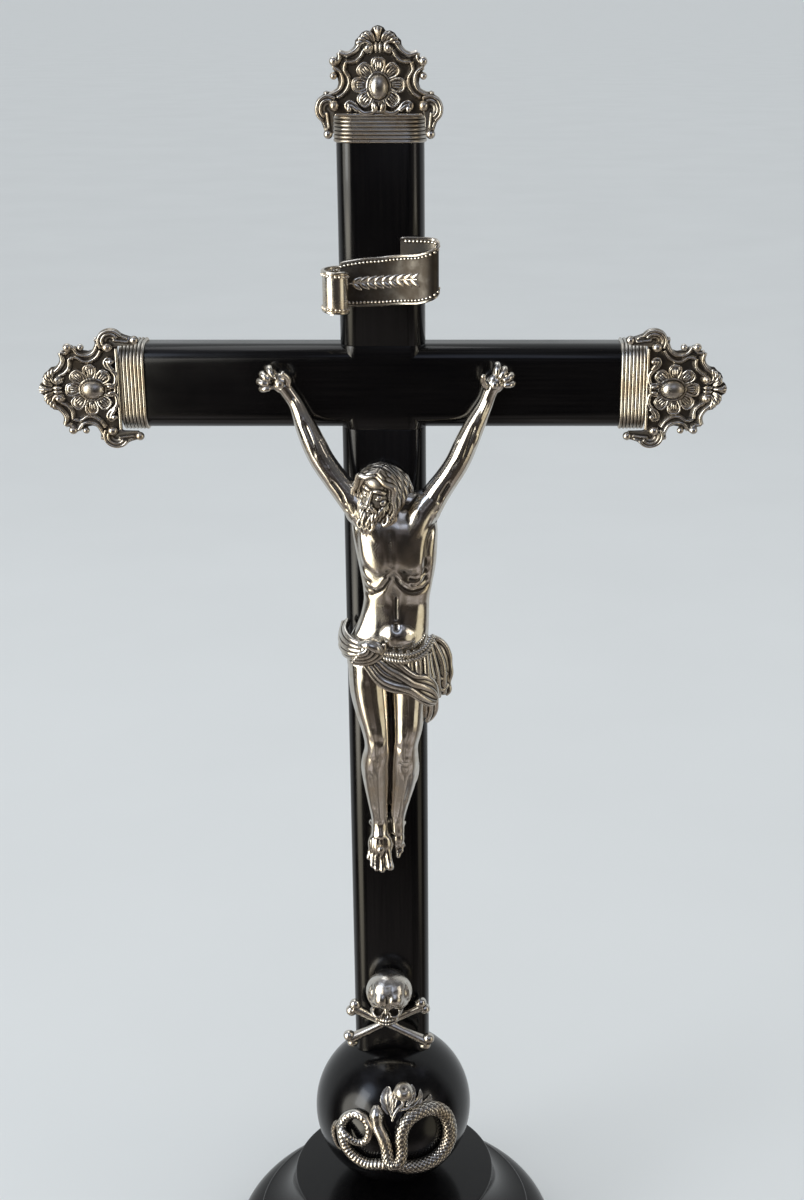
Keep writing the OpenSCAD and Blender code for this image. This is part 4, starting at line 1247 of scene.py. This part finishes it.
def hairParts():
    parts = []
    for s in (-1, 1):
        for k in range(9):                  # locks laid back and down from the parting
            back = -7.5 + 2.2 * k
            high = 13.3 - 0.045 * (back - 1) ** 2
            out = 11.2 + 0.6 * math.sin(k * 1.7)
            parts.append(lock([(0.3 * s, back, high), (5.2 * s, back - 1.0, high - 1.6),
                               (9.4 * s, back + 0.3, 6.6),
                               (out * s, back + 1.6, 0.6), ((out + 0.2) * s, back + 2.2, -5.5),
                               ((out - 0.4) * s, back + 2.4, -11.5 - 1.2 * math.sin(k * 2.1))],
                              1.35, 0.62, 2.6, k * 1.9 + s))
        for k in range(4):                  # the fringe swept round the brow
            parts.append(lock([(0.2 * s, -7.0 + 0.8 * k, 11.8 + 0.5 * k),
                               (4.2 * s, -7.8 + 0.8 * k, 9.9 + 0.4 * k),
                               (7.6 * s, -6.4 + 0.9 * k, 5.6), (8.9 * s, -5.2 + 0.8 * k, 0.2),
                               (9.6 * s, -4.2 + 0.7 * k, -5.2), (9.3 * s, -3.6 + 0.9 * k, -11)],
                              1.05, 0.5, 3.0, k * 2.3))
        for k in range(5):                  # curled ends on the shoulders
            x, y = (8.2 + 0.9 * k) * s, -4.6 + 2.6 * k
            parts.append(lock([(x, y, -9), (x + 1.5 * s, y - 1.4, -12.4), (x + 0.2 * s, y - 2.2, -14.6),
                               (x - 1.6 * s, y - 1.5, -13.4), (x - 1.0 * s, y - 1.0, -11.8)], 0.95, 0.15,
                               1, k))
    for k in range(7):                      # the back of the head
        x = -7.5 + 2.5 * k
        parts.append(lock([(x * 0.4, 3, 13), (x * 0.9, 9.5, 8), (x, 11.6, 0), (x * 1.05, 10.4, -8),
                           (x, 8.5, -13)],
                          1.6, 0.5, 2.4, k * 1.3))
    return parts


def beardParts():
    parts = []
    for s in (-1, 1):
        parts.append(lock([(0.35 * s, -11.7, -5.3), (2.4 * s, -10.9, -6.0), (3.9 * s, -9.4, -8.0),
                           (4.6 * s, -8.2, -10.8)], 0.85, 0.15, 1.5, 0))
        parts.append(lock([(0.6 * s, -11.4, -5.6), (2.0 * s, -10.9, -6.7), (3.2 * s, -9.6, -9.4)], 0.6,
                          0.1, 1, 1))
        for k in range(8):                  # rows of curls round the jaw
            a = math.radians(14 + 10.5 * k)
            x, y = 7.4 * math.sin(a), -2.8 - 7.0 * math.cos(a)
            top = -9.6 + 1.15 * k
            end = -16.5 + 0.75 * k
            parts.append(lock([(x * s, y, top), (x * 0.95 * s, y - 1.1, (top + end) / 2 + 0.6),
                               ((x * 0.62 + 0.4) * s, y - 0.9, end + 0.6),
                               (x * 0.42 * s, y - 0.2, end - 0.9)],
                              1.05, 0.45, 1.8, k * 1.7 + s))
            parts.append(lock([(x * 0.8 * s, y - 0.5, top - 1.2), (x * 0.66 * s, y - 1.7, end + 1.6),
                               (x * 0.34 * s, y - 1.4, end - 1.2)], 0.85, 0.5, 1.6, k * 2.6))
    for x in (-2.6, -1.6, -0.6, 0.6, 1.6, 2.6):        # the two points of the beard
        parts.append(lock([(x * 1.2, -9.4, -11.2), (x * 1.5, -10.9, -14.5), (x * 1.2, -10.9, -18.6),
                           (x * 0.8, -9.4, -23.2 + 0.8 * abs(x))], 0.85, 0.55, 2.2, x * 3))
    parts.append(ball((0, -7.2, -13.4), (4.4, 3.4, 7)))
    return parts


def makeHead():
    h = headShape
    obj = fused(faceParts() + hairParts() + beardParts(), h["voxel"], 2, 0.4)
    tilt, facing, bow = (Matrix.Rotation(math.radians(h[key]), 4, axis)
                         for key, axis in (("tilt", "Y"), ("turn", "Z"), ("bow", "X")))
    co = coords(obj) * h["scale"] @ np.array((tilt @ facing @ bow).to_3x3()).T + np.array(h["place"])
    layOnWood(setCoords(obj, co))
    markHollows(obj, (3, 18))
    return settle(obj, "corpusHead", headSilver, "cross", ["corpus_head"], 180)


makeHead()
print("head made")


scrollShape = {
    "thick": 0.9, "tall": 20, "swell": 4.4, "rim": 1.1, "rimLift": 0.5, "beadEvery": 1.85, "bead": 0.8,
    "climb": ((0, 0.2, 0.42, 0.58, 0.7, 1), (580.5, 581, 582.5, 586, 589.5, 592)),
    "rollAt": (-21, -18.3), "rollR": (3.4, 7.5), "rollSteps": 44,
    "face": [(-14, -10.9), (-8, -10.85), (0, -10.85), (6, -11.4), (12, -13), (18, -15.6), (23, -17.4)],
    "fold": [(26, -17), (27.4, -14.6), (26, -12.0), (22, -11.0), (16, -10.98), (12, -10.98), (9.4, -10.98)],
}


def scrollLine():
    # places across and deep along the ribbon, and the height of its lower edge
    s = scrollShape
    n = s["rollSteps"]
    roll = []
    for k in range(n):
        r = s["rollR"][0] + (s["rollR"][1] - s["rollR"][0]) * k / (n - 1)
        a = math.radians(150 - 420 * k / (n - 1))
        roll.append((s["rollAt"][0] + r * math.cos(a), s["rollAt"][1] + r * math.sin(a)))
    run = curvePoints(roll[-1:] + s["face"] + s["fold"], 7)[1:]
    line = np.concatenate([roll, run])
    low = np.concatenate([np.linspace(577.5, 580.5, n),
                          np.interp(np.linspace(0, 1, len(run)), *s["climb"])])
    ahead = np.gradient(line, axis=0)
    ahead /= np.linalg.norm(ahead, axis=1)[:, None]
    out = np.stack([ahead[:, 1], -ahead[:, 0]], axis=1)      # the side that shows
    return line, low, out, n


def stamp(obj, value):
    layer = obj.data.attributes.new("hollow", "FLOAT", "POINT")
    layer.data.foreach_set("value", np.full(len(obj.data.vertices), value, dtype=np.float32))
    return obj


def makeScroll():
    s = scrollShape
    line, low, out, n = scrollLine()
    gone = np.concatenate([[0], np.cumsum(np.linalg.norm(np.diff(line, axis=0), axis=1))])
    rise = np.array([0, 0.35, s["rim"], s["rim"] + 0.35, 2.6, 5, 7.5, 10, 12.5, 15, 17.4,
                     s["tall"] - s["rim"] - 0.35, s["tall"] - s["rim"], s["tall"] - 0.35,
                     s["tall"]]) / s["tall"]
    lift = [0.1, s["rimLift"], s["rimLift"], 0, 0, 0, 0, 0, 0, 0, 0, 0, s["rimLift"], s["rimLift"], 0.1]
    run = np.clip((np.arange(len(line)) - n) / (len(line) - n), 0, 1)
    tall = s["tall"] + s["swell"] * np.sin(pi * run) ** 0.3
    rows = []
    for (x, y), z, (ox, oy), up in zip(line, low, out, tall):
        half = s["thick"] / 2
        front = [(x + ox * (half + l), y + oy * (half + l), z + h * up) for h, l in zip(rise, lift)]
        back = [(x - ox * (half + l), y - oy * (half + l), z + h * up) for h,
                l in zip(rise[::-1], lift[::-1])]
        rows.append(front + back)
    ends = [[((a[0] + b[0]) / 2, (a[1] + b[1]) / 2, a[2]) for a, b in zip(r, reversed(r))]
            for r in (rows[0], rows[-1])]
    sheet = loft([ends[0]] + rows + [ends[1]])
    co = coords(sheet)
    d = np.full(len(co), 0.0)
    layer = sheet.data.attributes.new("hollow", "FLOAT", "POINT")
    # the ground between the rims is dark; the rims and the outside of the roll are rubbed bright
    for i, p in enumerate(co):
        near = np.argmin((line[:, 0] - p[0]) ** 2 + (line[:, 1] - p[1]) ** 2)
        h = p[2] - low[near]
        side = (p[0] - line[near, 0]) * out[near, 0] + (p[1] - line[near, 1]) * out[near, 1]
        inField = s["rim"] + 0.1 < h < tall[near] - s["rim"] - 0.1
        if inField and side > 0:
            d[i] = 0.72 if near > n else 0.3
        else:
            d[i] = 0.25 if near < n or not inField else 0.62
    layer.data.foreach_set("value", d.astype(np.float32))
    parts = [sheet]
    for at in np.arange(1.0, gone[-1] - 1, s["beadEvery"]):
        x, y, z, up = (np.interp(at, gone, v) for v in (line[:, 0], line[:, 1], low, tall))
        ox, oy = np.interp(at, gone, out[:, 0]), np.interp(at, gone, out[:, 1])
        for h in (s["rim"] + 1.0, up - s["rim"] - 1.0):
            for face in (0.5, -0.5):
                parts.append(stamp(ball((x + ox * face, y + oy * face, z + h), s["bead"], steps=(8, 6)),
                                   0.2))
    # a laurel spray along the middle of the face
    stem, from0 = [], gone[n] + 5
    for at in np.arange(from0, from0 + 34, 0.6):
        x, y, z, up = (np.interp(at, gone, v) for v in (line[:, 0], line[:, 1], low, tall))
        ox, oy = np.interp(at, gone, out[:, 0]), np.interp(at, gone, out[:, 1])
        stem.append((x + ox * 0.5, y + oy * 0.5, z + up / 2))
    parts.append(stamp(rod(stem, 0.45, 3, smooth=False), 0.15))
    for i in range(2, len(stem) - 1, 6):
        ahead = (Vector(stem[i + 1]) - Vector(stem[i])).normalized()
        for lean in (-34, 34):
            leaf = ball((0, 0, 0), (2.9, 0.7, 1.15), steps=(14, 8))
            co = coords(leaf)
            co[:, 2] *= 1 - 0.35 * co[:, 0] / 2.9
            co[:, 0] += 2.9
            setCoords(leaf, co)
            leaf.rotation_euler = (0, math.radians(lean), 0)
            applyPlace(leaf)
            leaf.rotation_euler = (0, 0, math.atan2(ahead.y, ahead.x))
            leaf.location = stem[i]
            parts.append(stamp(applyPlace(leaf), 0.15))
    obj = joined(parts)
    return settle(obj, "titleScroll", scrollSilver, "cross", ["title_scroll"], 40)


makeScroll()
print("scroll made")


skullShape = {"at": (-0.8, -18, 199.6), "r": 13, "shift": -1.4, "voxel": 0.33}


def makeSkull():
    x0, y0, z0 = skullShape["at"]
    fx = x0 + skullShape["shift"]        # the face looks a little to one side
    parts = [
        ball((x0, y0 - 1.2, z0 + 0.4), (13, 12, 12.4)),
        ball((x0 - 3.4, y0 - 4.4, z0 + 0.6), (6.8, 9.4, 7.0)),
        ball((x0 + 3.0, y0 - 4.4, z0 + 0.6), (6.8, 9.4, 7.0)),
        ball((fx, y0 - 3.6, z0 - 6.5), (8.4, 7.2, 7)),
        ball((fx, y0 - 4.4, z0 - 12), (6.4, 6.4, 5.4)), ball((fx, y0 - 5.2, z0 - 16.2), (4.8, 5.0, 2.6)),
    ]
    for s in (-1, 1):
        parts += [
            rod([(fx + 1.2 * s, y0 - 10.8, z0 - 3.8), (fx + 4.6 * s, y0 - 10.6, z0 - 3.4),
                 (fx + 8 * s, y0 - 7.4, z0 - 4.2)],
                [1.0, 1.2, 1.0], 6),
            rod([(fx + 2.2 * s, y0 - 10.6, z0 - 9.6), (fx + 5.4 * s, y0 - 10.2, z0 - 9.4),
                 (fx + 8.2 * s, y0 - 6.6, z0 - 7.2)],
                [1.5, 1.9, 1.5], 6),
            ball((fx + 5.0 * s, y0 - 6.6, z0 - 13.6), (1.6, 2.6, 3.6)),
        ]
    parts.append(rod([(fx, y0 - 11.6, z0 - 4.4), (fx, y0 - 12.6, z0 - 7.6)], [1.0, 0.8], 5))
    obj = fused(parts, skullShape["voxel"], 6, 0.6)
    for s in (-1, 1):                    # sockets, set slanting, and the hollow of the nose
        boolean(obj, ball((fx + 4.3 * s, y0 - 11.6, z0 - 6.8), (2.9, 4.6, 2.5), (0, 6 * s, 0)))
    boolean(obj, ball((fx, y0 - 12.6, z0 - 10.2), (1.5, 2.8, 2.0)))
    teeth = []
    for z, r in ((z0 - 13.4, 0.82), (z0 - 15.2, 0.78)):
        for k in range(7):
            a = math.radians(-54 + 18 * k)
            teeth.append(ball((fx + 5.0 * math.sin(a), y0 - 5.6 - 5.0 * math.cos(a), z), (r, 0.9, 1.05),
                              steps=(10, 8)))
    obj = fused([obj] + teeth, skullShape["voxel"], 1, 0.4)
    carve(obj, [
        ([(x0 - 0.4, z0 + 9), (x0 - 0.2, z0 + 5), (fx, z0 - 1)], 1.8, -0.35),
        ([(fx - 5, z0 - 14.3), (fx, z0 - 14.3), (fx + 5, z0 - 14.3)], 0.45, -0.6),
        ([(x0 - 11.5, z0 - 3), (x0 - 9.4, z0 + 3), (x0 - 10, z0 + 8)], 1.6, -0.7),
        ([(x0 + 11.5, z0 - 3), (x0 + 9.4, z0 + 3), (x0 + 10, z0 + 8)], 1.6, -0.7),
    ])
    layOnWood(obj)
    markHollows(obj, (5, 30))
    return settle(obj, "skullHead", castSilver, "cross", ["skull"], 180)


boneEnds = [
    # one end, the other end; the first bone lies in front
    ((-21.2, -15.0, 186.5), (20, -17.5, 165.5)), ((17.7, -13.4, 186.5), (-23, -14.6, 165.5)),
]


def makeBones():
    parts = []
    for start, end in boneEnds:
        a, b = Vector(start), Vector(end)
        along = (b - a).normalized()
        side = Vector((-along.z, 0, along.x))
        parts.append(rod([a, a.lerp(b, 0.15), a.lerp(b, 0.5), a.lerp(b, 0.85), b],
                         [3.1, 2.6, 2.35, 2.6, 3.1], 7))
        for p in (a, b):
            for s in (-1, 1):
                parts.append(ball(p + side * 2.3 * s, (3.3, 3.0, 3.2), steps=(22, 14)))
    obj = fused(parts, 0.32, 5, 0.5)
    layOnWood(obj)
    markHollows(obj, (5, 26))
    return settle(obj, "crossedBones", castSilver, "cross", ["crossbones"], 180)


makeSkull()
makeBones()
print("skull and bones made")


def onOrb(azimuth, elevation, out):
    a, e = math.radians(azimuth), math.radians(elevation)
    r = orbR + out
    return (r * math.cos(e) * math.sin(a), -r * math.cos(e) * math.cos(a), orbMid[2] + r * math.sin(e))


serpentShape = {
    "step": 0.42, "sides": 34, "scale": 2.9, "scaleLift": 0.13,
    "plain": 0.75, "plainNeck": 9, "tailPart": 0.47,     # relief of the smooth skin, and where it lies
}
serpentWay = [
    # azimuth, elevation, radius and extra lift, from the tip of the tail to the neck
    (-40, -9, 0.5, 0), (-43, -6, 0.9, 0), (-45, 0, 1.3, 0), (-45.5, 6, 1.6, 0), (-42.6, 12.5, 1.9, 0.2),
    (-37.4, 14, 2.1, 2.2), (-31.8, 10.8, 2.2, 3.4), (-26, 7, 2.3, 1.6), (-20.4, 6.2, 2.4, 0),
    (-16.2, 10.5, 2.5, 0), (-15.6, 17.5, 2.6, 0), (-19.3, 23, 2.7, 0), (-27.1, 25, 2.8, 0),
    (-33.9, 21.3, 2.9, 0), (-36.8, 15, 3.0, 0), (-35.8, 7.5, 3.1, 0), (-32.2, -0.2, 3.2, 0),
    (-26.3, -6, 3.3, 0), (-16.9, -9.6, 3.5, 0), (-7.1, -8.6, 3.6, 0), (2, -8.2, 3.8, 0),
    (10.6, -11, 4.1, 0), (20.5, -11.6, 4.3, 0), (30.5, -9.4, 4.4, 0), (38, -4.4, 4.4, 0),
    (42.2, 3, 4.4, 0), (43.2, 12.4, 4.4, 0), (41, 20.8, 4.3, 0), (35, 26.4, 4.2, 0),
    (27.5, 28.2, 4.1, 0), (19, 27, 4.0, 0.2), (12.4, 23.4, 3.9, 0.3), (8.4, 17.6, 3.8, 0.3),
    (7.2, 11, 3.7, 0.5), (7.4, 4, 3.5, 1.4), (5.4, -2.2, 3.5, 4.2), (1.6, -4.0, 3.5, 4.8),
    (-1.4, -1.2, 3.5, 3.4), (-2.6, 5.6, 3.5, 1.8), (-5.0, 13, 3.5, 1.2), (-8.8, 20, 3.4, 1.2),
    (-9.8, 25, 3.4, 1.6),
]


def serpentLine():
    # places along the body, the radius there, and the ways ahead, outwards and across
    s = serpentShape
    way = curvePoints(serpentWay, 8)
    core = np.array([onOrb(a, e, r * 0.86 + lift) for a, e, r, lift in way])
    gone = np.concatenate([[0], np.cumsum(np.linalg.norm(np.diff(core, axis=0), axis=1))])
    at = np.arange(0, gone[-1], s["step"])
    core = np.stack([np.interp(at, gone, core[:, i]) for i in range(3)], axis=1)
    radius = np.interp(at, gone, way[:, 2])
    ahead = np.gradient(core, axis=0)
    ahead /= np.linalg.norm(ahead, axis=1)[:, None]
    out = core - np.array(orbMid)
    out -= np.einsum("ij,ij->i", out, ahead)[:, None] * ahead
    out /= np.linalg.norm(out, axis=1)[:, None]
    return at, core, radius, ahead, out, np.cross(ahead, out)


def serpentRelief(at, whole, radius, a):
    # height of the skin, 0 to 1, and how strongly it is marked: diamond scales over the back, and on
    # the tail a polished band along one flank and ribs on the other
    s = serpentShape
    u = at / s["scale"]
    w = a / (2 * pi) * round(2 * pi * radius / s["scale"] / 1.05)
    flank = -math.sin(a)
    fade = min(1.0, max(0.0, (whole - s["plainNeck"] - at) / 10)) * min(1.0, radius / 1.6)
    onTail = at / whole < s["tailPart"]
    if onTail and flank > 0.1:
        relief = abs(math.sin(pi * u * 1.35))
    elif onTail and flank < -0.2:
        relief = s["plain"]
    else:
        relief = min(1, 1.7 * abs(math.sin(pi * (u + w))) * abs(math.sin(pi * (u - w))))
    return s["plain"] + (relief - s["plain"]) * fade, fade


def serpentBody(at, core, radius, out, side):
    s = serpentShape
    rows, hollow = [], []
    for i in range(len(at)):
        ring = []
        for k in range(s["sides"]):
            a = 2 * pi * k / s["sides"]
            relief, fade = serpentRelief(at[i], at[-1], radius[i], a)
            r = radius[i] * (1 - s["scaleLift"] + s["scaleLift"] * relief)
            ring.append(core[i] + r * (math.cos(a) * out[i] * 0.92 + math.sin(a) * side[i]))
            hollow.append(min(1, max(0, 0.92 - 0.85 * relief)) if fade > 0.1 else 0.3)
        rows.append(ring)
    start, end = rows[0], rows[-1]
    body = loft([[np.mean(start, axis=0)] * s["sides"]] + rows + [[np.mean(end, axis=0)] * s["sides"]])
    co = coords(body)
    layer = body.data.attributes.new("hollow", "FLOAT", "POINT")
    values = np.full(len(co), 0.4, dtype=np.float32)
    # each vertex takes the depth of the station it came from
    keys = {tuple(np.round(p, 3)): depth for p, depth in zip(np.array(rows).reshape(-1, 3), hollow)}
    for j, p in enumerate(np.round(co, 3)):
        values[j] = keys.get(tuple(p), 0.4)
    layer.data.foreach_set("value", values)
    return body


def serpentHead(neck, go, up, across):
    # the head lies on the neck, mouth towards the apple
    def place(f, u, w):
        return tuple(neck + go * f + up * u + across * w)
    parts = [rod([place(-3, 0, 0), place(0.5, 0.2, 0), place(3.4, 0.5, 0), place(6.2, 0.3, 0),
                  place(8.2, 0, 0)],
                 [3.2, 3.6, 3.9, 2.8, 1.4], 8),
             rod([place(0.5, 1.6, -2.1), place(3.4, 2.2, -2.4), place(5.6, 1.6, -1.3)], [0.6, 0.9, 0.5], 4),
             rod([place(0.5, 1.6, 2.1), place(3.4, 2.2, 2.4), place(5.6, 1.6, 1.3)], [0.6, 0.9, 0.5], 4)]
    for w in (-2.5, 2.5):
        parts.append(ball(place(3.6, 1.5, w), 0.8, steps=(12, 8)))
    head = fused(parts, 0.24, 4, 0.5)
    mouth = [[place(2.2, -0.5, 3.4 * w), place(5.5, -0.4, 2.2 * w), place(8, -0.2, 0.2 * w)]
             for w in (1, -1)]
    carve(head, [(line, 0.4, -0.5) for line in mouth])
    return markHollows(head, (4, 16))


def makeSerpent():
    at, core, radius, ahead, out, side = serpentLine()
    body = serpentBody(at, core, radius, out, side)
    head = serpentHead(core[-1], ahead[-1], out[-1], side[-1])
    obj = joined([body, head])
    return settle(obj, "serpentBody", serpentSilver, "stand", ["serpent"], 60)


def leafAt(points, wide, cup=0.5, turn=0.0):
    # a leaf laid along places on the orb: an edge, a midrib and side veins
    line = curvePoints([onOrb(*p) for p in points], 6)
    ahead = np.gradient(line, axis=0)
    ahead /= np.linalg.norm(ahead, axis=1)[:, None]
    out = line - np.array(orbMid)
    out /= np.linalg.norm(out, axis=1)[:, None]
    side = np.cross(ahead, out)
    n, rows = len(line), []
    for i in range(n):
        t = i / (n - 1)
        half = wide * (math.sin(pi * min(1, 0.06 + t * 0.94)) ** 0.7) * (1 + 0.03 * math.sin(t * 26))
        across = np.linspace(-1, 1, 17)
        vein = 0.12 * np.abs(np.sin(pi * (4.5 * t - 1.6 * np.abs(across))))
        rib = 0.35 * np.exp(-(across / 0.13) ** 2)
        top = [line[i] + side[i] * half * a + out[i] * (cup * (a * a) + v + r + turn * a)
               for a, v, r in zip(across, vein, rib)]
        low = [line[i] + side[i] * half * a * 0.96 + out[i] * (cup * (a * a) - 0.75 + turn * a)
               for a in across[::-1]]
        rows.append(top + low)
    ends = [[(p + q) / 2 for p, q in zip(r, r[::-1])] for r in (rows[0], rows[-1])]
    return loft([ends[0]] + rows + [ends[1]])


appleShape = {"at": (11, 42, 5.2), "r": 5.4}


def makeApple():
    centre = Vector(onOrb(*appleShape["at"]))
    apple = ball((0, 0, 0), appleShape["r"], steps=(48, 32))
    co = coords(apple)
    high = co[:, 2] / appleShape["r"]
    flat = np.hypot(co[:, 0], co[:, 1]) / appleShape["r"]
    co[:, 2] -= np.sign(high) * 1.1 * np.exp(-(flat / 0.34) ** 2)       # the dimples at eye and stalk
    co[:, :2] *= (1 + 0.05 * high)[:, None]
    setCoords(apple, co)
    apple.rotation_euler = (math.radians(32), 0, math.radians(8))
    apple.location = centre
    applyPlace(apple)
    markHollows(apple, (4, 20))
    fruit = onOrb(9, 38.5, 1.6)
    twigs = [
        rod([onOrb(1, 23, 1.2), onOrb(2.5, 27, 1.6), onOrb(6, 31.5, 1.8), onOrb(10, 34.5, 2.0), fruit],
            [0.9, 1.15, 1.2, 1.1, 0.9], 5),
        rod([onOrb(5, 30.5, 1.5), onOrb(12, 31, 1.6), onOrb(18, 31.5, 1.5), onOrb(24, 31, 1.1)],
            [1.0, 1.1, 1.0, 0.8], 5),
        rod([onOrb(1, 25, 1.0), onOrb(0, 29, 1.2), onOrb(-1.5, 33, 1.3)], [0.9, 1.0, 0.8], 5),
    ]
    leaves = [
        leafAt([(-0.6, 28, 1.4), (-2.6, 34, 2.2), (-3.6, 40, 2.9), (-2.0, 46.5, 2.4)], 3.8, 0.5, 0.4),
        leafAt([(0.5, 30, 1.5), (2.4, 35.5, 2.6), (3.4, 40, 3.4), (3.6, 44.5, 3.4)], 1.8, 0.5),
        leafAt([(16, 31.5, 1.6), (21, 33, 2.2), (25.5, 36.5, 2.4), (28, 42, 1.8)], 1.9, 0.4, -0.3),
        leafAt([(22, 30.6, 1.4), (27.5, 31.4, 2.0), (33, 33, 1.7), (36.5, 36, 1.2)], 1.8, 0.4),
        leafAt([(13, 32.5, 1.7), (17.6, 36.5, 2.6), (20, 41.5, 2.8), (20.6, 46.5, 2.0)], 1.8, 0.4, 0.3),
    ]
    branch = fused(twigs + leaves, 0.24, 1, 0.4)
    markHollows(branch, (4, 18))
    obj = joined([apple, branch])
    return settle(obj, "appleBranch", appleSilver, "stand", ["apple"], 60)


makeSerpent()
makeApple()
print("serpent and apple made")


def matte(name, colour):
    mat, tree, shader = newMaterial(name)
    shade = noise(tree, objectCoords(tree), 3, 3)
    tone = ramp(tree, shade, "Fac", [(0.3, [c * 0.97 for c in colour]), (0.7, colour)])
    link(tree, tone, "Color", shader, "Base Color")
    shader.inputs["Roughness"].default_value = 0.95
    shader.inputs["Specular IOR Level"].default_value = 0.1
    return mat


deselect()
bpy.ops.mesh.primitive_plane_add(size=400, location=(0, 0, 0))
floor = bpy.context.object
floor.name = "floor"
floor.data.materials.append(matte("paleFloor", (0.78, 0.80, 0.81)))
floor.visible_glossy = False     # the polished metal and the lacquer mirror the dim room instead

lights = {
    # name: place, aim, size, power, colour
    "window": ((-1.7, -1.3, 1.25), (0, 0, 0.45), (0.7, 1.0), 9, (0.95, 0.98, 1.0)),
    "room": ((1.9, -1.0, 0.9), (0, 0, 0.45), (0.5, 1.0), 3, (1.0, 0.92, 0.80)),
    "overhead": ((-0.4, 0.4, 2.3), (0, 0, 0.3), (1.2, 1.0), 5, (0.98, 0.99, 1.0)),
}
for name, (at, aim, size, power, colour) in lights.items():
    lamp = bpy.data.lights.new(name, "AREA")
    lamp.shape = "RECTANGLE"
    lamp.size, lamp.size_y = size
    lamp.energy = power
    lamp.color = colour
    holder = bpy.data.objects.new(name, lamp)
    bpy.context.scene.collection.objects.link(holder)
    holder.location = at
    holder.rotation_euler = (Vector(aim) - Vector(at)).to_track_quat("-Z", "Y").to_euler()

# the room as the polished metal mirrors it: a pale wall behind, a dim front with a pale
# table below, and windows
studio = {"pale": (0.72, 0.745, 0.76), "wall": (0.50, 0.52, 0.53)}
frontOfRoom = [
    # height of the direction, from straight down (0) to straight up (1), and its colour
    (0.0, (0.30, 0.29, 0.28)), (0.19, (0.20, 0.19, 0.18)), (0.27, (0.11, 0.10, 0.09)),
    (0.335, (0.035, 0.03, 0.026)), (0.52, (0.022, 0.02, 0.02)), (0.62, (0.06, 0.06, 0.065)),
    (0.8, (0.12, 0.13, 0.15)), (1.0, (0.14, 0.15, 0.17)),
]
windows = [
    # direction, cosine at the soft edge and inside it, brightness
    ((-0.80, -0.56, 0.12), (0.90, 0.93), (3.4, 3.3, 3.0)),
    ((-0.76, -0.58, -0.30), (0.95, 0.975), (2.6, 2.4, 1.9)),
    ((0.86, -0.48, -0.20), (0.955, 0.975), (0.75, 0.68, 0.50)),
    ((0.15, -0.80, 0.55), (0.95, 0.98), (0.34, 0.40, 0.55)),
    ((-0.60, -0.50, 0.63), (0.972, 0.992), (1.5, 1.75, 2.2)),
]
world = bpy.data.worlds.new("studio")
world.use_nodes = True
bpy.context.scene.world = world
sky = world.node_tree
direction = addNode(sky, "ShaderNodeTexCoord")
split = addNode(sky, "ShaderNodeSeparateXYZ")
link(sky, direction, "Generated", split, "Vector")
height = addNode(sky, "ShaderNodeMath", {1: 0.5, 2: 0.5}, operation="MULTIPLY_ADD")
link(sky, split, "Z", height, 0)
front = ramp(sky, height, "Value", frontOfRoom)
clutter = addNode(sky, "ShaderNodeTexNoise", {"Scale": 3.2, "Detail": 3})
link(sky, direction, "Generated", clutter, "Vector")
patches = ramp(sky, clutter, "Fac",
               [(0.36, (0.35, 0.33, 0.34)), (0.5, (1.0, 0.92, 0.82)), (0.64, (2.6, 2.5, 2.6))])
front = mixColour(sky, None, 1.0, front, "Color", patches, "Color", "MULTIPLY")
behind = ramp(sky, split, "Y", [(0.02, (0, 0, 0)), (0.32, (1, 1, 1))])
room = mixColour(sky, behind, "Color", front, 2, None, studio["wall"])
for toward, (edge, inside), glow in windows:
    facing = addNode(sky, "ShaderNodeVectorMath", {1: Vector(toward).normalized()}, operation="DOT_PRODUCT")
    link(sky, direction, "Generated", facing, 0)
    pane = ramp(sky, facing, "Value", [(edge, (0, 0, 0)), (inside, glow)])
    room = mixColour(sky, None, 1.0, room, 2, pane, "Color", "ADD")
ray = addNode(sky, "ShaderNodeLightPath")
seen = mixColour(sky, ray, "Is Glossy Ray", None, studio["pale"], room, 2)
link(sky, seen, 2, sky.nodes["Background"], "Color")

view = {"place": (0.0332, -0.8278, 0.7256), "pitch": 70.05, "lens": 50.46, "shift": -0.04}
eye = bpy.data.cameras.new("camera")
eye.lens = view["lens"]
eye.sensor_width = 36
eye.shift_x = view["shift"]
eye.clip_start = 0.01
eye.clip_end = 400
camera = bpy.data.objects.new("camera", eye)
bpy.context.scene.collection.objects.link(camera)
camera.location = view["place"]
camera.rotation_euler = (math.radians(view["pitch"]), 0, 0)
bpy.context.scene.camera = camera
bpy.context.scene.view_settings.view_transform = "Standard"
print("stage set")
